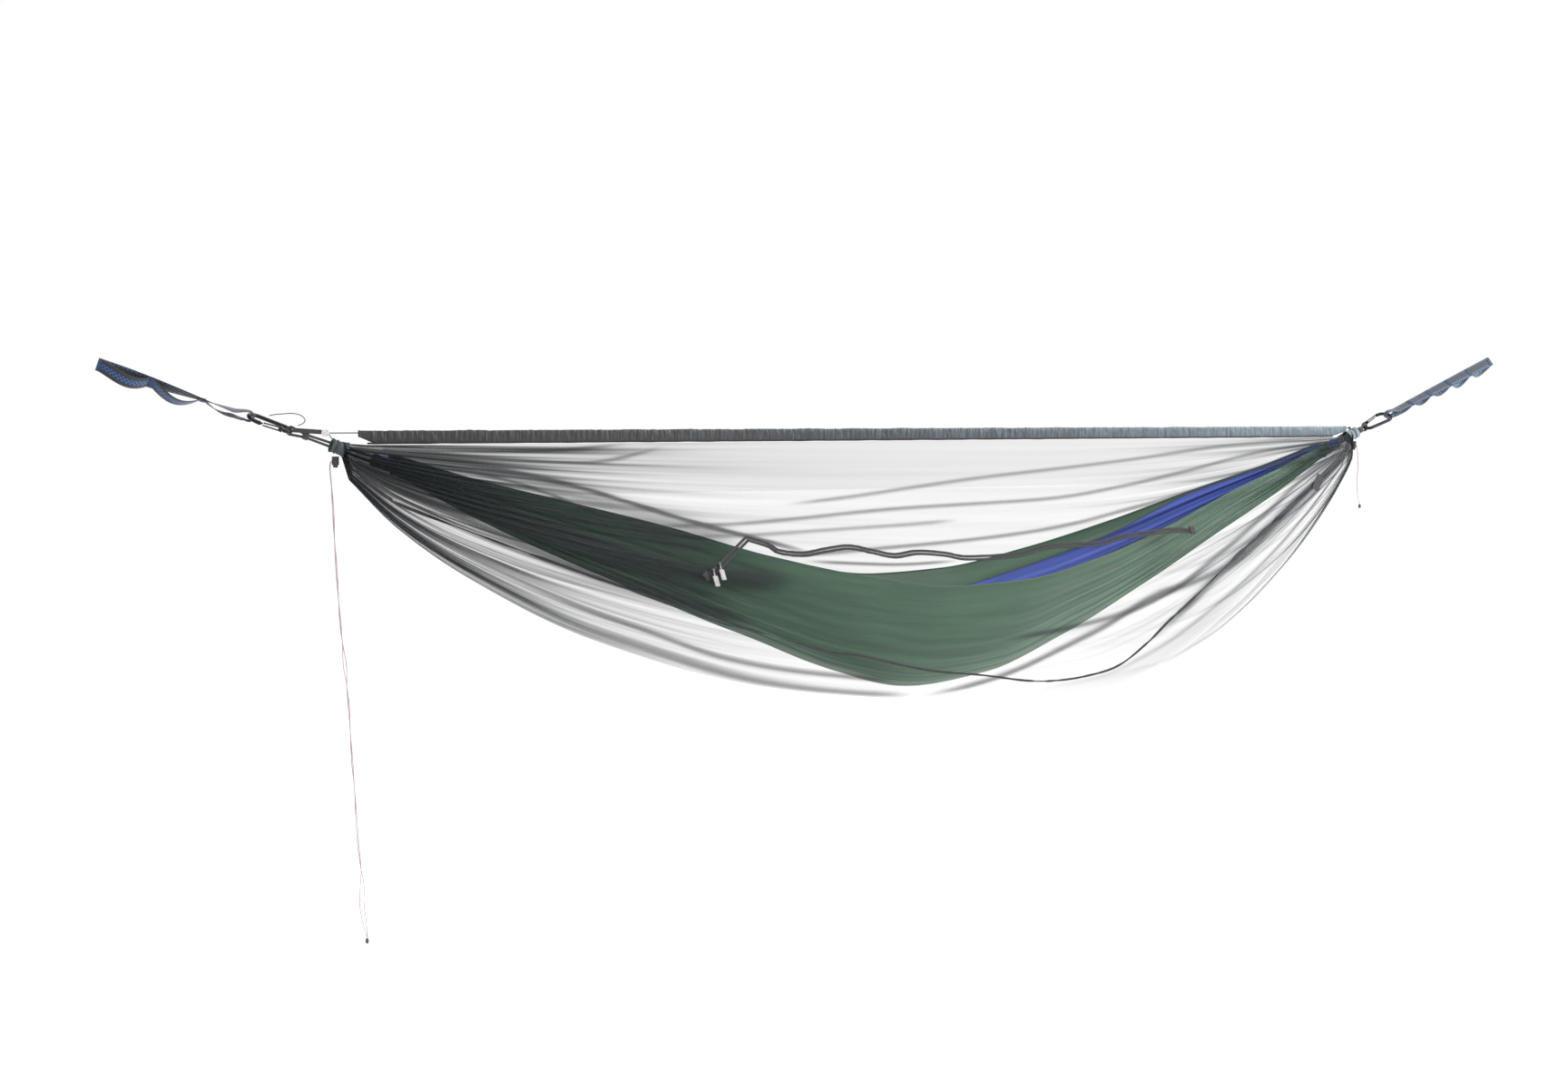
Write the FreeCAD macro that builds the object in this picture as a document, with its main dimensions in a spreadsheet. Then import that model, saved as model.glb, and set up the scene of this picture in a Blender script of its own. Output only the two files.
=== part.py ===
"""Gathered-end camping hammock inside a full bug net, hung on two daisy-chain tree straps.

Frame: millimetres, +X along the hammock from the left strap to the right strap, +Z up,
near side -Y. The origin is the middle of the left strap's end loop edge (mount left_anchor).
The soft pieces are plain thin shells of the right size and place.
"""
import FreeCAD, Part
import math
import os

import Sketcher

V = FreeCAD.Vector
doc = FreeCAD.newDocument("camping_hammock")

# ---------------------------------------------------------------- driving sizes
SIZES = {
    "anchor_reach": 1774.0,      # left anchor to the middle of the hammock
    "gather_reach": 1325.0,      # middle to the net's gathered ends
    "ridge_drop": 128.0,         # ridge line below the left anchor
    "left_contact_reach": 1495.0,
    "right_contact_reach": 1425.0,
    "contact_rise": 30.0,        # carabiner contacts above the ridge line
    "right_anchor_reach": 1780.0,
    "right_anchor_rise": 173.0,  # above the ridge line
    "webbing_wide": 25.0,
    "webbing_thick": 1.6,
    "bight_wide": 13.0,          # webbing bunched inside the carabiner
    "bight_inner_r": 9.0,
    "rod_r": 4.0,
    "carabiner_span": 86.0,      # between the middles of the two bows
    "top_bow_r": 20.0,
    "low_bow_r": 14.0,
    "gate_wire_r": 1.5,
    "rope_r": 2.6,
    "hem_reach": 1240.0,
    "hem_long": 42.0,
    "left_hem_drop": 62.0,
    "right_hem_drop": 47.0,
    "hem_r": 16.0,
    "cloth_thick": 2.0,
    "edge_half_wide": 188.0,
    "net_half_wide": 238.0,
    "net_depth": 647.0,
    "net_thick": 1.5,
    "sleeve_reach": 1262.0,
    "sleeve_tall": 27.0,
    "sleeve_thick": 5.0,
    "ridge_line_r": 1.1,
    "lock_r": 7.0,
    "lock_tall": 17.0,
    "plunger_r": 4.6,
    "plunger_long": 13.0,
    "plunger_gap": 0.2,
    "lock_travel": 4.0,
    "lock_hole_r": 2.6,
    "tape_wide": 5.5,
    "tape_thick": 1.0,
    "coil_wide": 4.4,
    "coil_thick": 2.2,
    "slider_long": 12.0,
    "slider_wide": 10.0,
    "slider_plate": 1.2,
    "tab_long": 24.0,
    "tab_wide": 10.0,
    "tab_thick": 2.4,
    "label_long": 50.0,
    "label_wide": 20.0,
    "label_thick": 1.0,
    "tail_r": 1.0,
    "knot_r": 4.0,
}
sheet = doc.addObject("Spreadsheet::Sheet", "Sizes")
for row, (alias, value) in enumerate(SIZES.items(), start=1):
    sheet.set("A%d" % row, alias)
    sheet.set("B%d" % row, str(value))
    sheet.setAlias("B%d" % row, alias)
doc.recompute()


def size(alias):
    return float(getattr(sheet, alias))


NODES = []


def node(obj, name, placement=None):
    """Registers a finished sub-part under the name of its file."""
    obj.Label = name
    if placement is not None:
        obj.Placement = placement
    NODES.append(obj)
    return obj


def feature(name, shape, placement=None):
    """A sub-part made with Part's own functions."""
    obj = doc.addObject("Part::Feature", name)
    obj.Shape = shape
    return node(obj, name, placement)


# ---------------------------------------------------------------- places
MID = size("anchor_reach")
RIDGE_Z = -size("ridge_drop")
NEAR, FAR = -1, 1


def place(reach, y, drop):
    """A point from its reach along the hammock's middle and its drop below the ridge line."""
    return V(MID + reach, y, RIDGE_Z - drop)


LEFT_ANCHOR = V(0, 0, 0)
RIGHT_ANCHOR = place(size("right_anchor_reach"), 0, -size("right_anchor_rise"))
LEFT_CONTACT = place(-size("left_contact_reach"), 0, -size("contact_rise"))
RIGHT_CONTACT = place(size("right_contact_reach"), 0, -size("contact_rise"))
LEFT_HEM = place(-size("hem_reach"), 0, size("left_hem_drop"))
RIGHT_HEM = place(size("hem_reach"), 0, size("right_hem_drop"))


def on_rope(contact, hem, reach):
    """The point of a carabiner-to-hem line at a reach along the hammock."""
    share = (MID + reach - contact.x) / (hem.x - contact.x)
    return contact + (hem - contact) * share


LEFT_GATHER = on_rope(LEFT_CONTACT, LEFT_HEM, -size("gather_reach"))
RIGHT_GATHER = on_rope(RIGHT_CONTACT, RIGHT_HEM, size("gather_reach") - 18.0)


# ---------------------------------------------------------------- shape helpers
def unit(v):
    return V(v).normalize()


def polygon(points):
    return Part.makePolygon(points + [points[0]])


def loft(sections):
    """A closed solid through polygon sections of equal point count, with straight rulings."""
    shape = Part.makeLoft([polygon(s) for s in sections], True, True)
    return shape if shape.Volume > 0 else shape.reversed()


def ribbon(stations):
    """A flat band. Each station is (middle, width direction, face normal, width, thickness)."""
    sections = []
    for middle, across, normal, wide, thick in stations:
        a, n = unit(across) * (wide / 2), unit(normal) * (thick / 2)
        sections.append([middle - a - n, middle + a - n, middle + a + n, middle - a + n])
    return loft(sections)


def tube(route, radius, label, least_diameters=3.0):
    """A cord: straight runs joined by tangent arcs as large as the runs allow."""
    edges, start, volume, tightest = [], route[0], 0.0, 1e9
    for before, corner, after in zip(route, route[1:], route[2:]):
        back, ahead = before - corner, after - corner
        turn = math.pi - back.getAngle(ahead)
        arc_r = 0.45 * min(back.Length, ahead.Length) / math.tan(turn / 2)
        reach = arc_r * math.tan(turn / 2)
        first, last = corner + unit(back) * reach, corner + unit(ahead) * reach
        middle_dir = unit(unit(back) + unit(ahead))
        bow = corner + middle_dir * (arc_r / math.cos(turn / 2) - arc_r)
        edges.append(Part.LineSegment(start, first).toShape())
        edges.append(Part.Arc(first, bow, last).toShape())
        volume += (first - start).Length + arc_r * turn
        start, tightest = last, min(tightest, arc_r)
    edges.append(Part.LineSegment(start, route[-1]).toShape())
    volume = (volume + (route[-1] - start).Length) * math.pi * radius ** 2
    section = Part.Wire(Part.makeCircle(radius, route[0], route[1] - route[0]))
    solid = Part.Wire(edges).makePipeShell([section], True, False)
    print("cord %s: least radius %.1f mm, %.1f diameters, volume ratio %.4f"
          % (label, tightest, tightest / radius / 2, solid.Volume / volume))
    assert abs(solid.Volume / volume - 1) < 0.02, label
    assert tightest > least_diameters * 2 * radius * 0.3, label
    return solid


def turned(x_dir, y_dir, origin):
    """A placement whose local X and Y point along the given directions."""
    x_dir, y_dir = unit(x_dir), unit(y_dir)
    z_dir = x_dir.cross(y_dir)
    matrix = FreeCAD.Matrix(x_dir.x, y_dir.x, z_dir.x, origin.x,
                            x_dir.y, y_dir.y, z_dir.y, origin.y,
                            x_dir.z, y_dir.z, z_dir.z, origin.z, 0, 0, 0, 1)
    return FreeCAD.Placement(matrix)


# ---------------------------------------------------------------- PartDesign helpers
def body(name):
    return doc.addObject("PartDesign::Body", name)


def origin_plane(owner, role):
    return next(f for f in owner.Origin.OriginFeatures if f.Role == role)


def sketch_on(owner, role, name, offset=0.0):
    sketch = owner.newObject("Sketcher::SketchObject", name)
    sketch.AttachmentSupport = [(origin_plane(owner, role), "")]
    sketch.MapMode = "FlatFace"
    sketch.AttachmentOffset = FreeCAD.Placement(V(0, 0, offset), FreeCAD.Rotation())
    return sketch


def rectangle(sketch, wide, tall, left, low):
    """A rectangle whose width, height, left and low edges follow expressions of the sheet."""
    base = len(sketch.Geometry)
    corners = [V(-1, -1, 0), V(1, -1, 0), V(1, 1, 0), V(-1, 1, 0)]
    for a, b in zip(corners, corners[1:] + corners[:1]):
        sketch.addGeometry(Part.LineSegment(a, b), False)
    for k in range(4):
        sketch.addConstraint(Sketcher.Constraint("Coincident", base + k, 2, base + (k + 1) % 4, 1))
        way = "Horizontal" if k % 2 == 0 else "Vertical"
        sketch.addConstraint(Sketcher.Constraint(way, base + k))
    rules = [("DistanceX", base, 1, base, 2, wide), ("DistanceY", base + 1, 1, base + 1, 2, tall),
             ("DistanceX", -1, 1, base, 1, left), ("DistanceY", -1, 1, base, 1, low)]
    for kind, g1, p1, g2, p2, rule in rules:
        index = sketch.addConstraint(Sketcher.Constraint(kind, g1, p1, g2, p2, 1.0))
        sketch.setExpression("Constraints[%d]" % index, rule)


def circle(sketch, radius, x=0.0, y=0.0):
    base = sketch.addGeometry(Part.Circle(V(x, y, 0), V(0, 0, 1), 1.0), False)
    index = sketch.addConstraint(Sketcher.Constraint("Radius", base, 1.0))
    sketch.setExpression("Constraints[%d]" % index, radius)
    sketch.addConstraint(Sketcher.Constraint("DistanceX", -1, 1, base, 3, x))
    sketch.addConstraint(Sketcher.Constraint("DistanceY", -1, 1, base, 3, y))


def pad(owner, sketch, length, name, midplane=False):
    feat = owner.newObject("PartDesign::Pad", name)
    feat.Profile = sketch
    feat.setExpression("Length", length)
    feat.Midplane = midplane
    return feat


def pocket(owner, sketch, length, name, midplane=True, backwards=False):
    feat = owner.newObject("PartDesign::Pocket", name)
    feat.Profile = sketch
    feat.setExpression("Length", length)
    feat.Midplane = midplane
    feat.Reversed = backwards
    return feat


# ---------------------------------------------------------------- tree straps
def strap_frames(anchor, contact, roll_near, roll_far, share):
    """Middle, width direction and face normal of a strap at a share of its length."""
    along = unit(contact - anchor)
    level = V(0, 1, 0)
    rise = unit(level.cross(along))
    roll = math.radians(roll_near + (roll_far - roll_near) * share)
    across = level * math.cos(roll) + rise * math.sin(roll)
    normal = along.cross(across)
    return anchor + (contact - anchor) * share, across, normal, rise


BIGHT_LONG = 34.0       # length over which the webbing narrows towards the carabiner
TACK_LONG = 9.0
LOOP_GAP = 0.25         # between the tacked layers
SAG_SHARE = 0.45        # how far a slack loop hangs down, of its depth


def tree_strap(side, anchor, contact, roll_near, roll_far, loop_ends, slack):
    """One strap: straight main layer, slack loop layer and bar tacks, ending in a round bight."""
    length = (contact - anchor).Length
    wide, thick = size("webbing_wide"), size("webbing_thick")
    bight_r = size("bight_inner_r") + thick / 2
    spread = thick + LOOP_GAP
    tack_share = 0.7 * TACK_LONG / length
    flat_end = 1 - BIGHT_LONG / length
    steps = 40
    first_free = 1.15 * TACK_LONG / length
    shares = [flat_end * k / steps for k in range(steps + 1)]
    for end in loop_ends[:-1]:
        shares = [s for s in shares if abs(s - end) > 1.7 * tack_share or s == 0.0]
        shares += [end - tack_share, end, end + tack_share] if end > 0 else [first_free]
    shares.sort()

    def frame(share):
        rolled = min(share / flat_end, 1.0)
        middle, _, _, _ = strap_frames(anchor, contact, 0, 0, share)
        _, across, normal, rise = strap_frames(anchor, contact, roll_near, roll_far, rolled)
        return middle, across, normal, rise

    def layer(sign):
        stations = []
        for share in shares:
            middle, across, normal, rise = frame(share)
            off = normal * (sign * spread / 2)
            if sign > 0:
                for low, high, depth in zip(loop_ends, loop_ends[1:], slack):
                    low, high = max(low + tack_share, first_free), high - tack_share
                    if low < share < high:
                        swell = math.sin(math.pi * (share - low) / (high - low)) ** 0.8
                        sag = rise if rise.z < 0 else -rise
                        off = off + normal * (depth * swell) + sag * (SAG_SHARE * depth * swell)
            stations.append((middle + off, across, normal, wide, thick))
        return stations

    along = unit(contact - anchor)
    _, across, normal, _ = frame(1.0)
    narrow = size("bight_wide")

    def run_in(sign):
        """The narrowing run of one layer up to the bight's half circle."""
        end = contact + normal * (sign * bight_r)
        return [(end, across, normal, narrow, thick)]

    half = []
    for k in range(1, 8):
        turn = math.pi * k / 16
        half.append((turn, contact + normal * (bight_r * math.cos(turn)) + along * (bight_r * math.sin(turn)),
                     normal * math.cos(turn) + along * math.sin(turn)))
    quarter = [(p, across, n, narrow, thick) for _, p, n in half]
    mirrored = [(p - normal * (2 * (p - contact).dot(normal)), across,
                 n - normal * (2 * n.dot(normal)), narrow, thick) for _, p, n in half]
    tip = (contact + along * bight_r, across, along, narrow, thick)
    feature(side + "_tree_strap", ribbon(layer(-1) + run_in(-1) + mirrored + [tip]))
    feature(side + "_strap_loops", ribbon(layer(1) + run_in(1) + quarter + [tip]))

    tacks = []
    for share in loop_ends[:-1]:
        share = max(share, TACK_LONG / 2 / length)
        middle, across, normal, _ = frame(share)
        for sign in (-1, 1):
            plate = Part.makeBox(TACK_LONG, wide * 0.86, 0.5, V(-TACK_LONG / 2, -wide * 0.43, -0.25))
            spot = middle + normal * (sign * (spread / 2 + thick / 2 + 0.65))
            plate.Placement = turned(along, across, spot)
            tacks.append(plate)
    feature(side + "_bar_tacks", Part.makeCompound(tacks))


BIGHT_ROLL = -20.0      # the carabiners hang rolled by this much about the strap's run
LEFT_LOOP_ENDS = [0.0, 0.35, 0.69, 1.0]
RIGHT_LOOP_ENDS = [0.0, 0.22, 0.42, 0.61, 0.79, 1.0]
tree_strap("left", LEFT_ANCHOR, LEFT_CONTACT, -86.0, BIGHT_ROLL - 180, LEFT_LOOP_ENDS,
           [16.0, 14.0, 7.0])
tree_strap("right", RIGHT_ANCHOR, RIGHT_CONTACT, 64.0, -BIGHT_ROLL, RIGHT_LOOP_ENDS,
           [16.0, 15.0, 9.0, 8.0, 5.0])


# ---------------------------------------------------------------- carabiners


def carabiner_frame(contact, hem):
    """Local X runs from the strap bow to the rope bow, local Y across the carabiner."""
    along = unit(hem - contact)
    level = V(0, 1, 0)
    rise = unit(along.cross(level))
    roll = math.radians(BIGHT_ROLL if along.x > 0 else -BIGHT_ROLL)
    across = level * math.cos(roll) - rise * math.sin(roll)
    if along.x < 0:
        across = across * -1
    return along, across, contact


def carabiner(side, contact, hem):
    """An aluminium wiregate carabiner: bent rod, wire gate and the gate's pin."""
    rod, span = size("rod_r"), size("carabiner_span")
    top, low = size("top_bow_r"), size("low_bow_r")
    along, across, origin = carabiner_frame(contact, hem)
    placement = turned(along, across, origin)
    # the spine runs on +Y, the gate on -Y; the strap bow's extreme is at the local origin
    top_c, low_c = V(top, 0, 0), V(span - low, 0, 0)
    spine_top, spine_low = V(top, top, 0), V(span - low, low, 0)
    gap = spine_low - spine_top
    lean = math.atan2(spine_top.y - spine_low.y, gap.x)
    tangent_top = V(top + top * math.sin(lean), top * math.cos(lean), 0)
    tangent_low = V(span - low + low * math.sin(lean), low * math.cos(lean), 0)
    path = [
        Part.Arc(V(top, -top, 0), V(0, 0, 0), tangent_top),
        Part.LineSegment(tangent_top, tangent_low),
        Part.Arc(tangent_low, V(span, 0, 0), V(span - low, -low, 0)),
    ]
    wire = Part.Wire([p.toShape() for p in path])
    section = Part.Wire(Part.makeCircle(rod, V(top, -top, 0), V(-1, 0, 0)))
    bent = wire.makePipeShell([section], True, False)
    nose_ball = Part.makeSphere(rod * 1.12, V(top, -top, 0))
    pivot_block = Part.makeCylinder(rod, 9.0, V(span - low, -low, 0), V(-1, 0.12, 0))
    pivot_end = Part.makeSphere(rod * 1.02, V(span - low - 9.0, -low + 1.05, 0))
    solid = bent.fuse([nose_ball, pivot_block, pivot_end])
    notch = Part.makeBox(6.0, 11.7, 2 * rod + 2, V(top + 0.8, -top - 1.7, -rod - 1))
    slot_wide = 2 * size("gate_wire_r") + 0.9
    pin_at = V(span - low - 7.0, -low + 0.85, 0)
    hole = Part.makeCylinder(1.0, 4 * rod, pin_at + V(0, 0, -2 * rod))
    waist_cut = []
    for sign in (-1, 1):
        flat = Part.makeBox(10.5, 4 * rod, slot_wide, V(pin_at.x - 7.0, pin_at.y - 2 * rod,
                                                        1.7 if sign > 0 else -1.7 - slot_wide))
        waist_cut.append(flat)
    solid = solid.cut([notch, hole] + waist_cut)
    solids = sorted(solid.Solids, key=lambda s: s.Volume)
    feature(side + "_carabiner", solids[-1], placement)

    # the wire gate is a flat U: two legs either side of the pivot block and a bow in the nose notch
    wire_r = size("gate_wire_r")
    leg_z = 1.7 + slot_wide / 2
    tip = V(top + 1.2 + wire_r + 1.0, -top, 0)
    legs = []
    reach = tip.x + 5.0
    for sign in (-1, 1):
        foot = pin_at + V(0, 0, sign * leg_z)
        knee = V(reach, -top + 0.2, sign * leg_z * 0.72)
        legs.append((foot, knee))
    path = Part.Wire([
        Part.LineSegment(legs[0][0], legs[0][1]).toShape(),
        Part.LineSegment(legs[0][1], V(tip.x + 1.2, -top, -1.4)).toShape(),
        Part.LineSegment(V(tip.x + 1.2, -top, -1.4), V(tip.x + 1.2, -top, 1.4)).toShape(),
        Part.LineSegment(V(tip.x + 1.2, -top, 1.4), legs[1][1]).toShape(),
        Part.LineSegment(legs[1][1], legs[1][0]).toShape(),
    ])
    pieces = []
    for edge in path.Edges:
        a, b = edge.Vertexes[0].Point, edge.Vertexes[1].Point
        pieces.append(Part.makeCylinder(wire_r, (b - a).Length, a, b - a))
    joints = [Part.makeSphere(wire_r, v.Point) for v in path.Vertexes]
    eyes = []
    for sign in (-1, 1):
        eye = Part.makeCylinder(2.3, 2 * wire_r, pin_at + V(0, 0, sign * leg_z - wire_r))
        eyes.append(eye)
    gate = pieces[0].fuse(pieces[1:] + joints + eyes)
    bore = Part.makeCylinder(1.05, 6 * rod, pin_at + V(0, 0, -3 * rod))
    feature(side + "_gate", gate.cut(bore), placement)

    pin = doc.addObject("Part::Cylinder", side + "_gate_pin")
    pin.Radius = 0.98
    pin.Height = 2 * (leg_z + wire_r + 0.6)
    centre = pin_at + V(0, 0, -(leg_z + wire_r + 0.6))
    node(pin, side + "_gate_pin", placement.multiply(FreeCAD.Placement(centre, FreeCAD.Rotation())))
    world = placement.multVec(pin_at)
    axis = placement.Rotation.multVec(V(0, 0, 1))
    print("joint %s_gate pos %.4f %.4f %.4f axis %.5f %.5f %.5f"
          % (side, world.x / 1000, world.y / 1000, world.z / 1000, axis.x, axis.y, axis.z))
    return placement


left_clip = carabiner("left", LEFT_CONTACT, LEFT_HEM)
right_clip = carabiner("right", RIGHT_CONTACT, RIGHT_HEM)


# ---------------------------------------------------------------- end ropes and hems
JOINT_SWELL = 1.04      # the rope's legs meet in slightly larger balls


def end_rope(side, clip, hem, throat_at):
    """The doubled rope from the carabiner's rope bow to the end hem, and its throat wrap."""
    rope, span = size("rope_r"), size("carabiner_span")
    rod = size("rod_r")
    bow = clip.multVec(V(span, 0, 0))
    along = unit(hem - bow)
    up = unit(V(0, 1, 0).cross(along))
    if up.z < 0:
        up = up * -1
    eye_r = rod + rope + 0.9
    throat_off = rope + 0.2
    face = (hem - bow).Length - size("hem_long") * 0.35 - 0.6
    edges = [Part.Arc(bow + up * eye_r, bow - along * eye_r, bow - up * eye_r).toShape()]
    legs = []
    for sign in (1, -1):
        throat = bow + along * throat_at + up * (sign * throat_off)
        end = bow + along * face + up * (sign * (throat_off + 3.0))
        legs.append((bow + up * (sign * eye_r), throat, end))
    pieces = []
    section = Part.Wire(Part.makeCircle(rope, bow + up * eye_r, along))
    pieces.append(Part.Wire(edges).makePipeShell([section], True, False))
    for start, throat, end in legs:
        pieces.append(Part.makeCylinder(rope, (throat - start).Length, start, throat - start))
        pieces.append(Part.makeSphere(JOINT_SWELL * rope, throat))
        pieces.append(Part.makeSphere(JOINT_SWELL * rope, start))
        pieces.append(Part.makeCylinder(rope, (end - throat).Length, throat, end - throat))
    feature(side + "_end_rope", pieces[0].fuse(pieces[1:]))
    wrap_r, wrap_long = 2 * rope + 2.6, 11.0
    wrap = Part.makeCylinder(wrap_r, wrap_long, bow + along * (throat_at - wrap_long / 2), along)
    wrap = wrap.makeFillet(2.0, wrap.Edges[0:1] + wrap.Edges[2:3])
    rope_shape = pieces[0].fuse(pieces[1:])
    feature(side + "_rope_knot", wrap.cut(rope_shape))
    return bow, along, up, face


def end_hem(side, hem, along):
    """The blunt bunched end channel of the hammock cloth."""
    reach = size("hem_long")
    wide, tall = 2.1 * size("hem_r"), 1.7 * size("hem_r")
    rise = unit(V(0, 1, 0).cross(along))
    sections = []
    for share, grow in ((0.0, 0.78), (0.12, 1.0), (0.55, 0.94), (1.0, 0.88)):
        middle = hem + along * (reach * (share - 0.35))
        ring = []
        for k in range(12):
            turn = 2 * math.pi * k / 12
            ring.append(middle + V(0, 1, 0) * (wide / 2 * grow * math.cos(turn))
                        + rise * (tall / 2 * grow * math.sin(turn)))
        sections.append(ring)
    feature(side + "_end_hem", loft(sections))


left_rope = end_rope("left", left_clip, LEFT_HEM, 31.0)
right_rope = end_rope("right", right_clip, RIGHT_HEM, 17.0)
end_hem("left", LEFT_HEM, left_rope[1])
end_hem("right", RIGHT_HEM, right_rope[1])


# ---------------------------------------------------------------- hammock panels
# reach from the middle, drop of the bottom, drop of the edges, share of the full half width
CLOTH = [
    (-1207, 86, 50, 0.075), (-1050, 170, 100, 0.19), (-878, 255, 145, 0.38), (-660, 352, 203, 0.63),
    (-446, 450, 268, 0.84), (-200, 548, 322, 0.97), (0, 591, 348, 1.0), (190, 572, 340, 0.98),
    (400, 492, 300, 0.88), (630, 384, 234, 0.64), (850, 268, 160, 0.405), (1050, 164, 98, 0.22),
    (1205, 76, 42, 0.075),
]
CLOTH_RIM = 1.9         # power of the cross-section: 2 is a parabola


def cloth_point(station, share):
    """A point of the cloth's middle surface; share runs from the near edge to the far edge."""
    reach, low, edge, wide = station
    y = (2 * share - 1) * size("edge_half_wide") * wide
    drop = low - (low - edge) * abs(2 * share - 1) ** CLOTH_RIM
    return place(reach, y, drop)


def shell_section(points, centre, thick):
    """A thin closed outline: the given points pushed in and out from a centre point."""
    outer, inner = [], []
    for k, p in enumerate(points):
        ahead = points[min(k + 1, len(points) - 1)] - points[max(k - 1, 0)]
        normal = unit(V(1, 0, 0).cross(ahead))
        if normal.dot(p - centre) < 0:
            normal = normal * -1
        outer.append(p + normal * (thick / 2))
        inner.append(p - normal * (thick / 2))
    return outer + inner[::-1]


CLOTH_CUTS = [0, 3, 5, 8, len(CLOTH) - 1]    # stations where a panel's stand-in solids meet
CUT_GAP = 0.3


def cloth_panel(name, low, high, count):
    """One panel as a row of thin shells, so that collision can follow its hollow."""
    def section(station, shift):
        centre = cloth_point((station[0], station[2], station[2], 1.0), 0.5)
        points = [cloth_point(station, low + (high - low) * k / (count - 1)) for k in range(count)]
        return [p + V(shift, 0, 0) for p in shell_section(points, centre, size("cloth_thick"))]

    shells = []
    for first, last in zip(CLOTH_CUTS, CLOTH_CUTS[1:]):
        run = CLOTH[first:last + 1]
        shifts = [CUT_GAP] + [0] * (len(run) - 2) + [-CUT_GAP]
        shells.append(loft([section(station, shift) for station, shift in zip(run, shifts)]))
    feature(name, Part.makeCompound(shells))


SEAM_GAP = 0.006        # share of the width left open at the panels' seams
BLUE_FROM = 0.55        # the blue panel's share of the cloth's width
BLUE_TO = 0.94
cloth_panel("hammock_near_panel", 0.0, BLUE_FROM - SEAM_GAP, 8)
cloth_panel("hammock_centre_panel", BLUE_FROM + SEAM_GAP, BLUE_TO - SEAM_GAP, 6)
cloth_panel("hammock_far_panel", BLUE_TO + SEAM_GAP, 1.0, 3)


# ---------------------------------------------------------------- net walls
# reach from the middle, share of the full depth, share of the full half width
NET = [
    (-1295, 0.155, 0.092), (-1200, 0.305, 0.24), (-1043, 0.478, 0.44), (-785, 0.686, 0.72),
    (-425, 0.869, 0.93), (-130, 0.944, 0.99), (150, 0.985, 1.0), (360, 1.0, 0.98),
    (560, 0.970, 0.91), (732, 0.876, 0.80), (900, 0.72, 0.65), (1044, 0.549, 0.48),
    (1191, 0.323, 0.27), (1262, 0.190, 0.158), (1277, 0.162, 0.125),
]
WALL_SHARE = 0.56       # the straight tent wall takes this share of the depth, then the belly
NET_TOP = size("sleeve_tall") + 1.4
ROUND_FROM = 950.0      # beyond this reach the tent wall rounds out towards the gathers


def net_top(reach):
    """Drop of the net's top edge: under the sleeve, then down to the gathers."""
    over = max(0.0, (abs(reach) - size("sleeve_reach")) / 40.0)
    return NET_TOP - over * (3.0 if reach < 0 else 27.0)


def net_point(station, down, side):
    """A point of the net's middle surface; down runs from 0 at the ridge to 1 at the bottom."""
    reach, deep, wide = station
    top, low = net_top(reach), deep * size("net_depth")
    if down < WALL_SHARE:
        rounded = max(0.0, abs(reach) - ROUND_FROM) / (size("gather_reach") - ROUND_FROM)
        out = (down / WALL_SHARE) ** (1 - 0.68 * rounded)
    else:
        out = math.sqrt(max(0.0, 1 - ((down - WALL_SHARE) / (1 - WALL_SHARE)) ** 2))
    least = 2.5
    y = side * (least + (size("net_half_wide") * wide - least) * out)
    if down >= 1.0:
        y = side * least
    return place(reach, y, top + (low - top) * down)


DOWN = [0.0, 0.06, 0.14, 0.28, WALL_SHARE, 0.72, 0.84, 0.93, 0.98, 1.0]


def net_wall(name, side):
    sections = []
    for station in NET:
        points = [net_point(station, down, side) for down in DOWN]
        centre = place(station[0], 0, (net_top(station[0]) + station[1] * size("net_depth")) / 2)
        sections.append(shell_section(points, centre, size("net_thick")))
    feature(name, loft(sections))


net_wall("net_near_wall", NEAR)
net_wall("net_far_wall", FAR)


def between(table, reach):
    """A station of a table at any reach, by straight interpolation."""
    for a, b in zip(table, table[1:]):
        if a[0] <= reach <= b[0]:
            share = (reach - a[0]) / (b[0] - a[0])
            return tuple(p + (q - p) * share for p, q in zip(a, b))
    raise ValueError(reach)


def on_net(reach, down, side, out=0.0):
    """A point off the net's surface, with the surface's outward normal and down direction."""
    station = between(NET, reach)
    p = net_point(station, down, side)
    step = 0.004
    lower, upper = net_point(station, min(down + step, 0.999), side), net_point(station, down - step, side)
    fall = unit(lower - upper)
    beyond, before = between(NET, reach + 6), between(NET, reach - 6)
    run = unit(net_point(beyond, down, side) - net_point(before, down, side))
    normal = unit(run.cross(fall))
    if normal.y * side < 0:
        normal = normal * -1
    return p + normal * out, normal, fall


def net_collar(side, gather, along, wide_r):
    """The gathered drawcord channel at one end of the net, a tube round the end rope."""
    long, inner = 22.0, 10.5
    outer = Part.makeCylinder(inner + 3.2, long, gather - along * long / 2, along)
    frill = Part.makeCone(inner + 3.2, wide_r, 12.0, gather + along * (long / 2 - 1), along)
    bore = Part.makeCylinder(inner, long + 40, gather - along * (long / 2 + 10), along)
    feature(side + "_net_collar", outer.fuse(frill).cut(bore))
    ring = Part.makeTorus(inner + 3.2 + 1.0, 1.0, gather, along)
    feature(side + "_drawcord", ring.cut(outer))


net_collar("left", LEFT_GATHER, left_rope[1], 17.0)
net_collar("right", RIGHT_GATHER, right_rope[1], 16.0)


# ---------------------------------------------------------------- ridge

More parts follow.
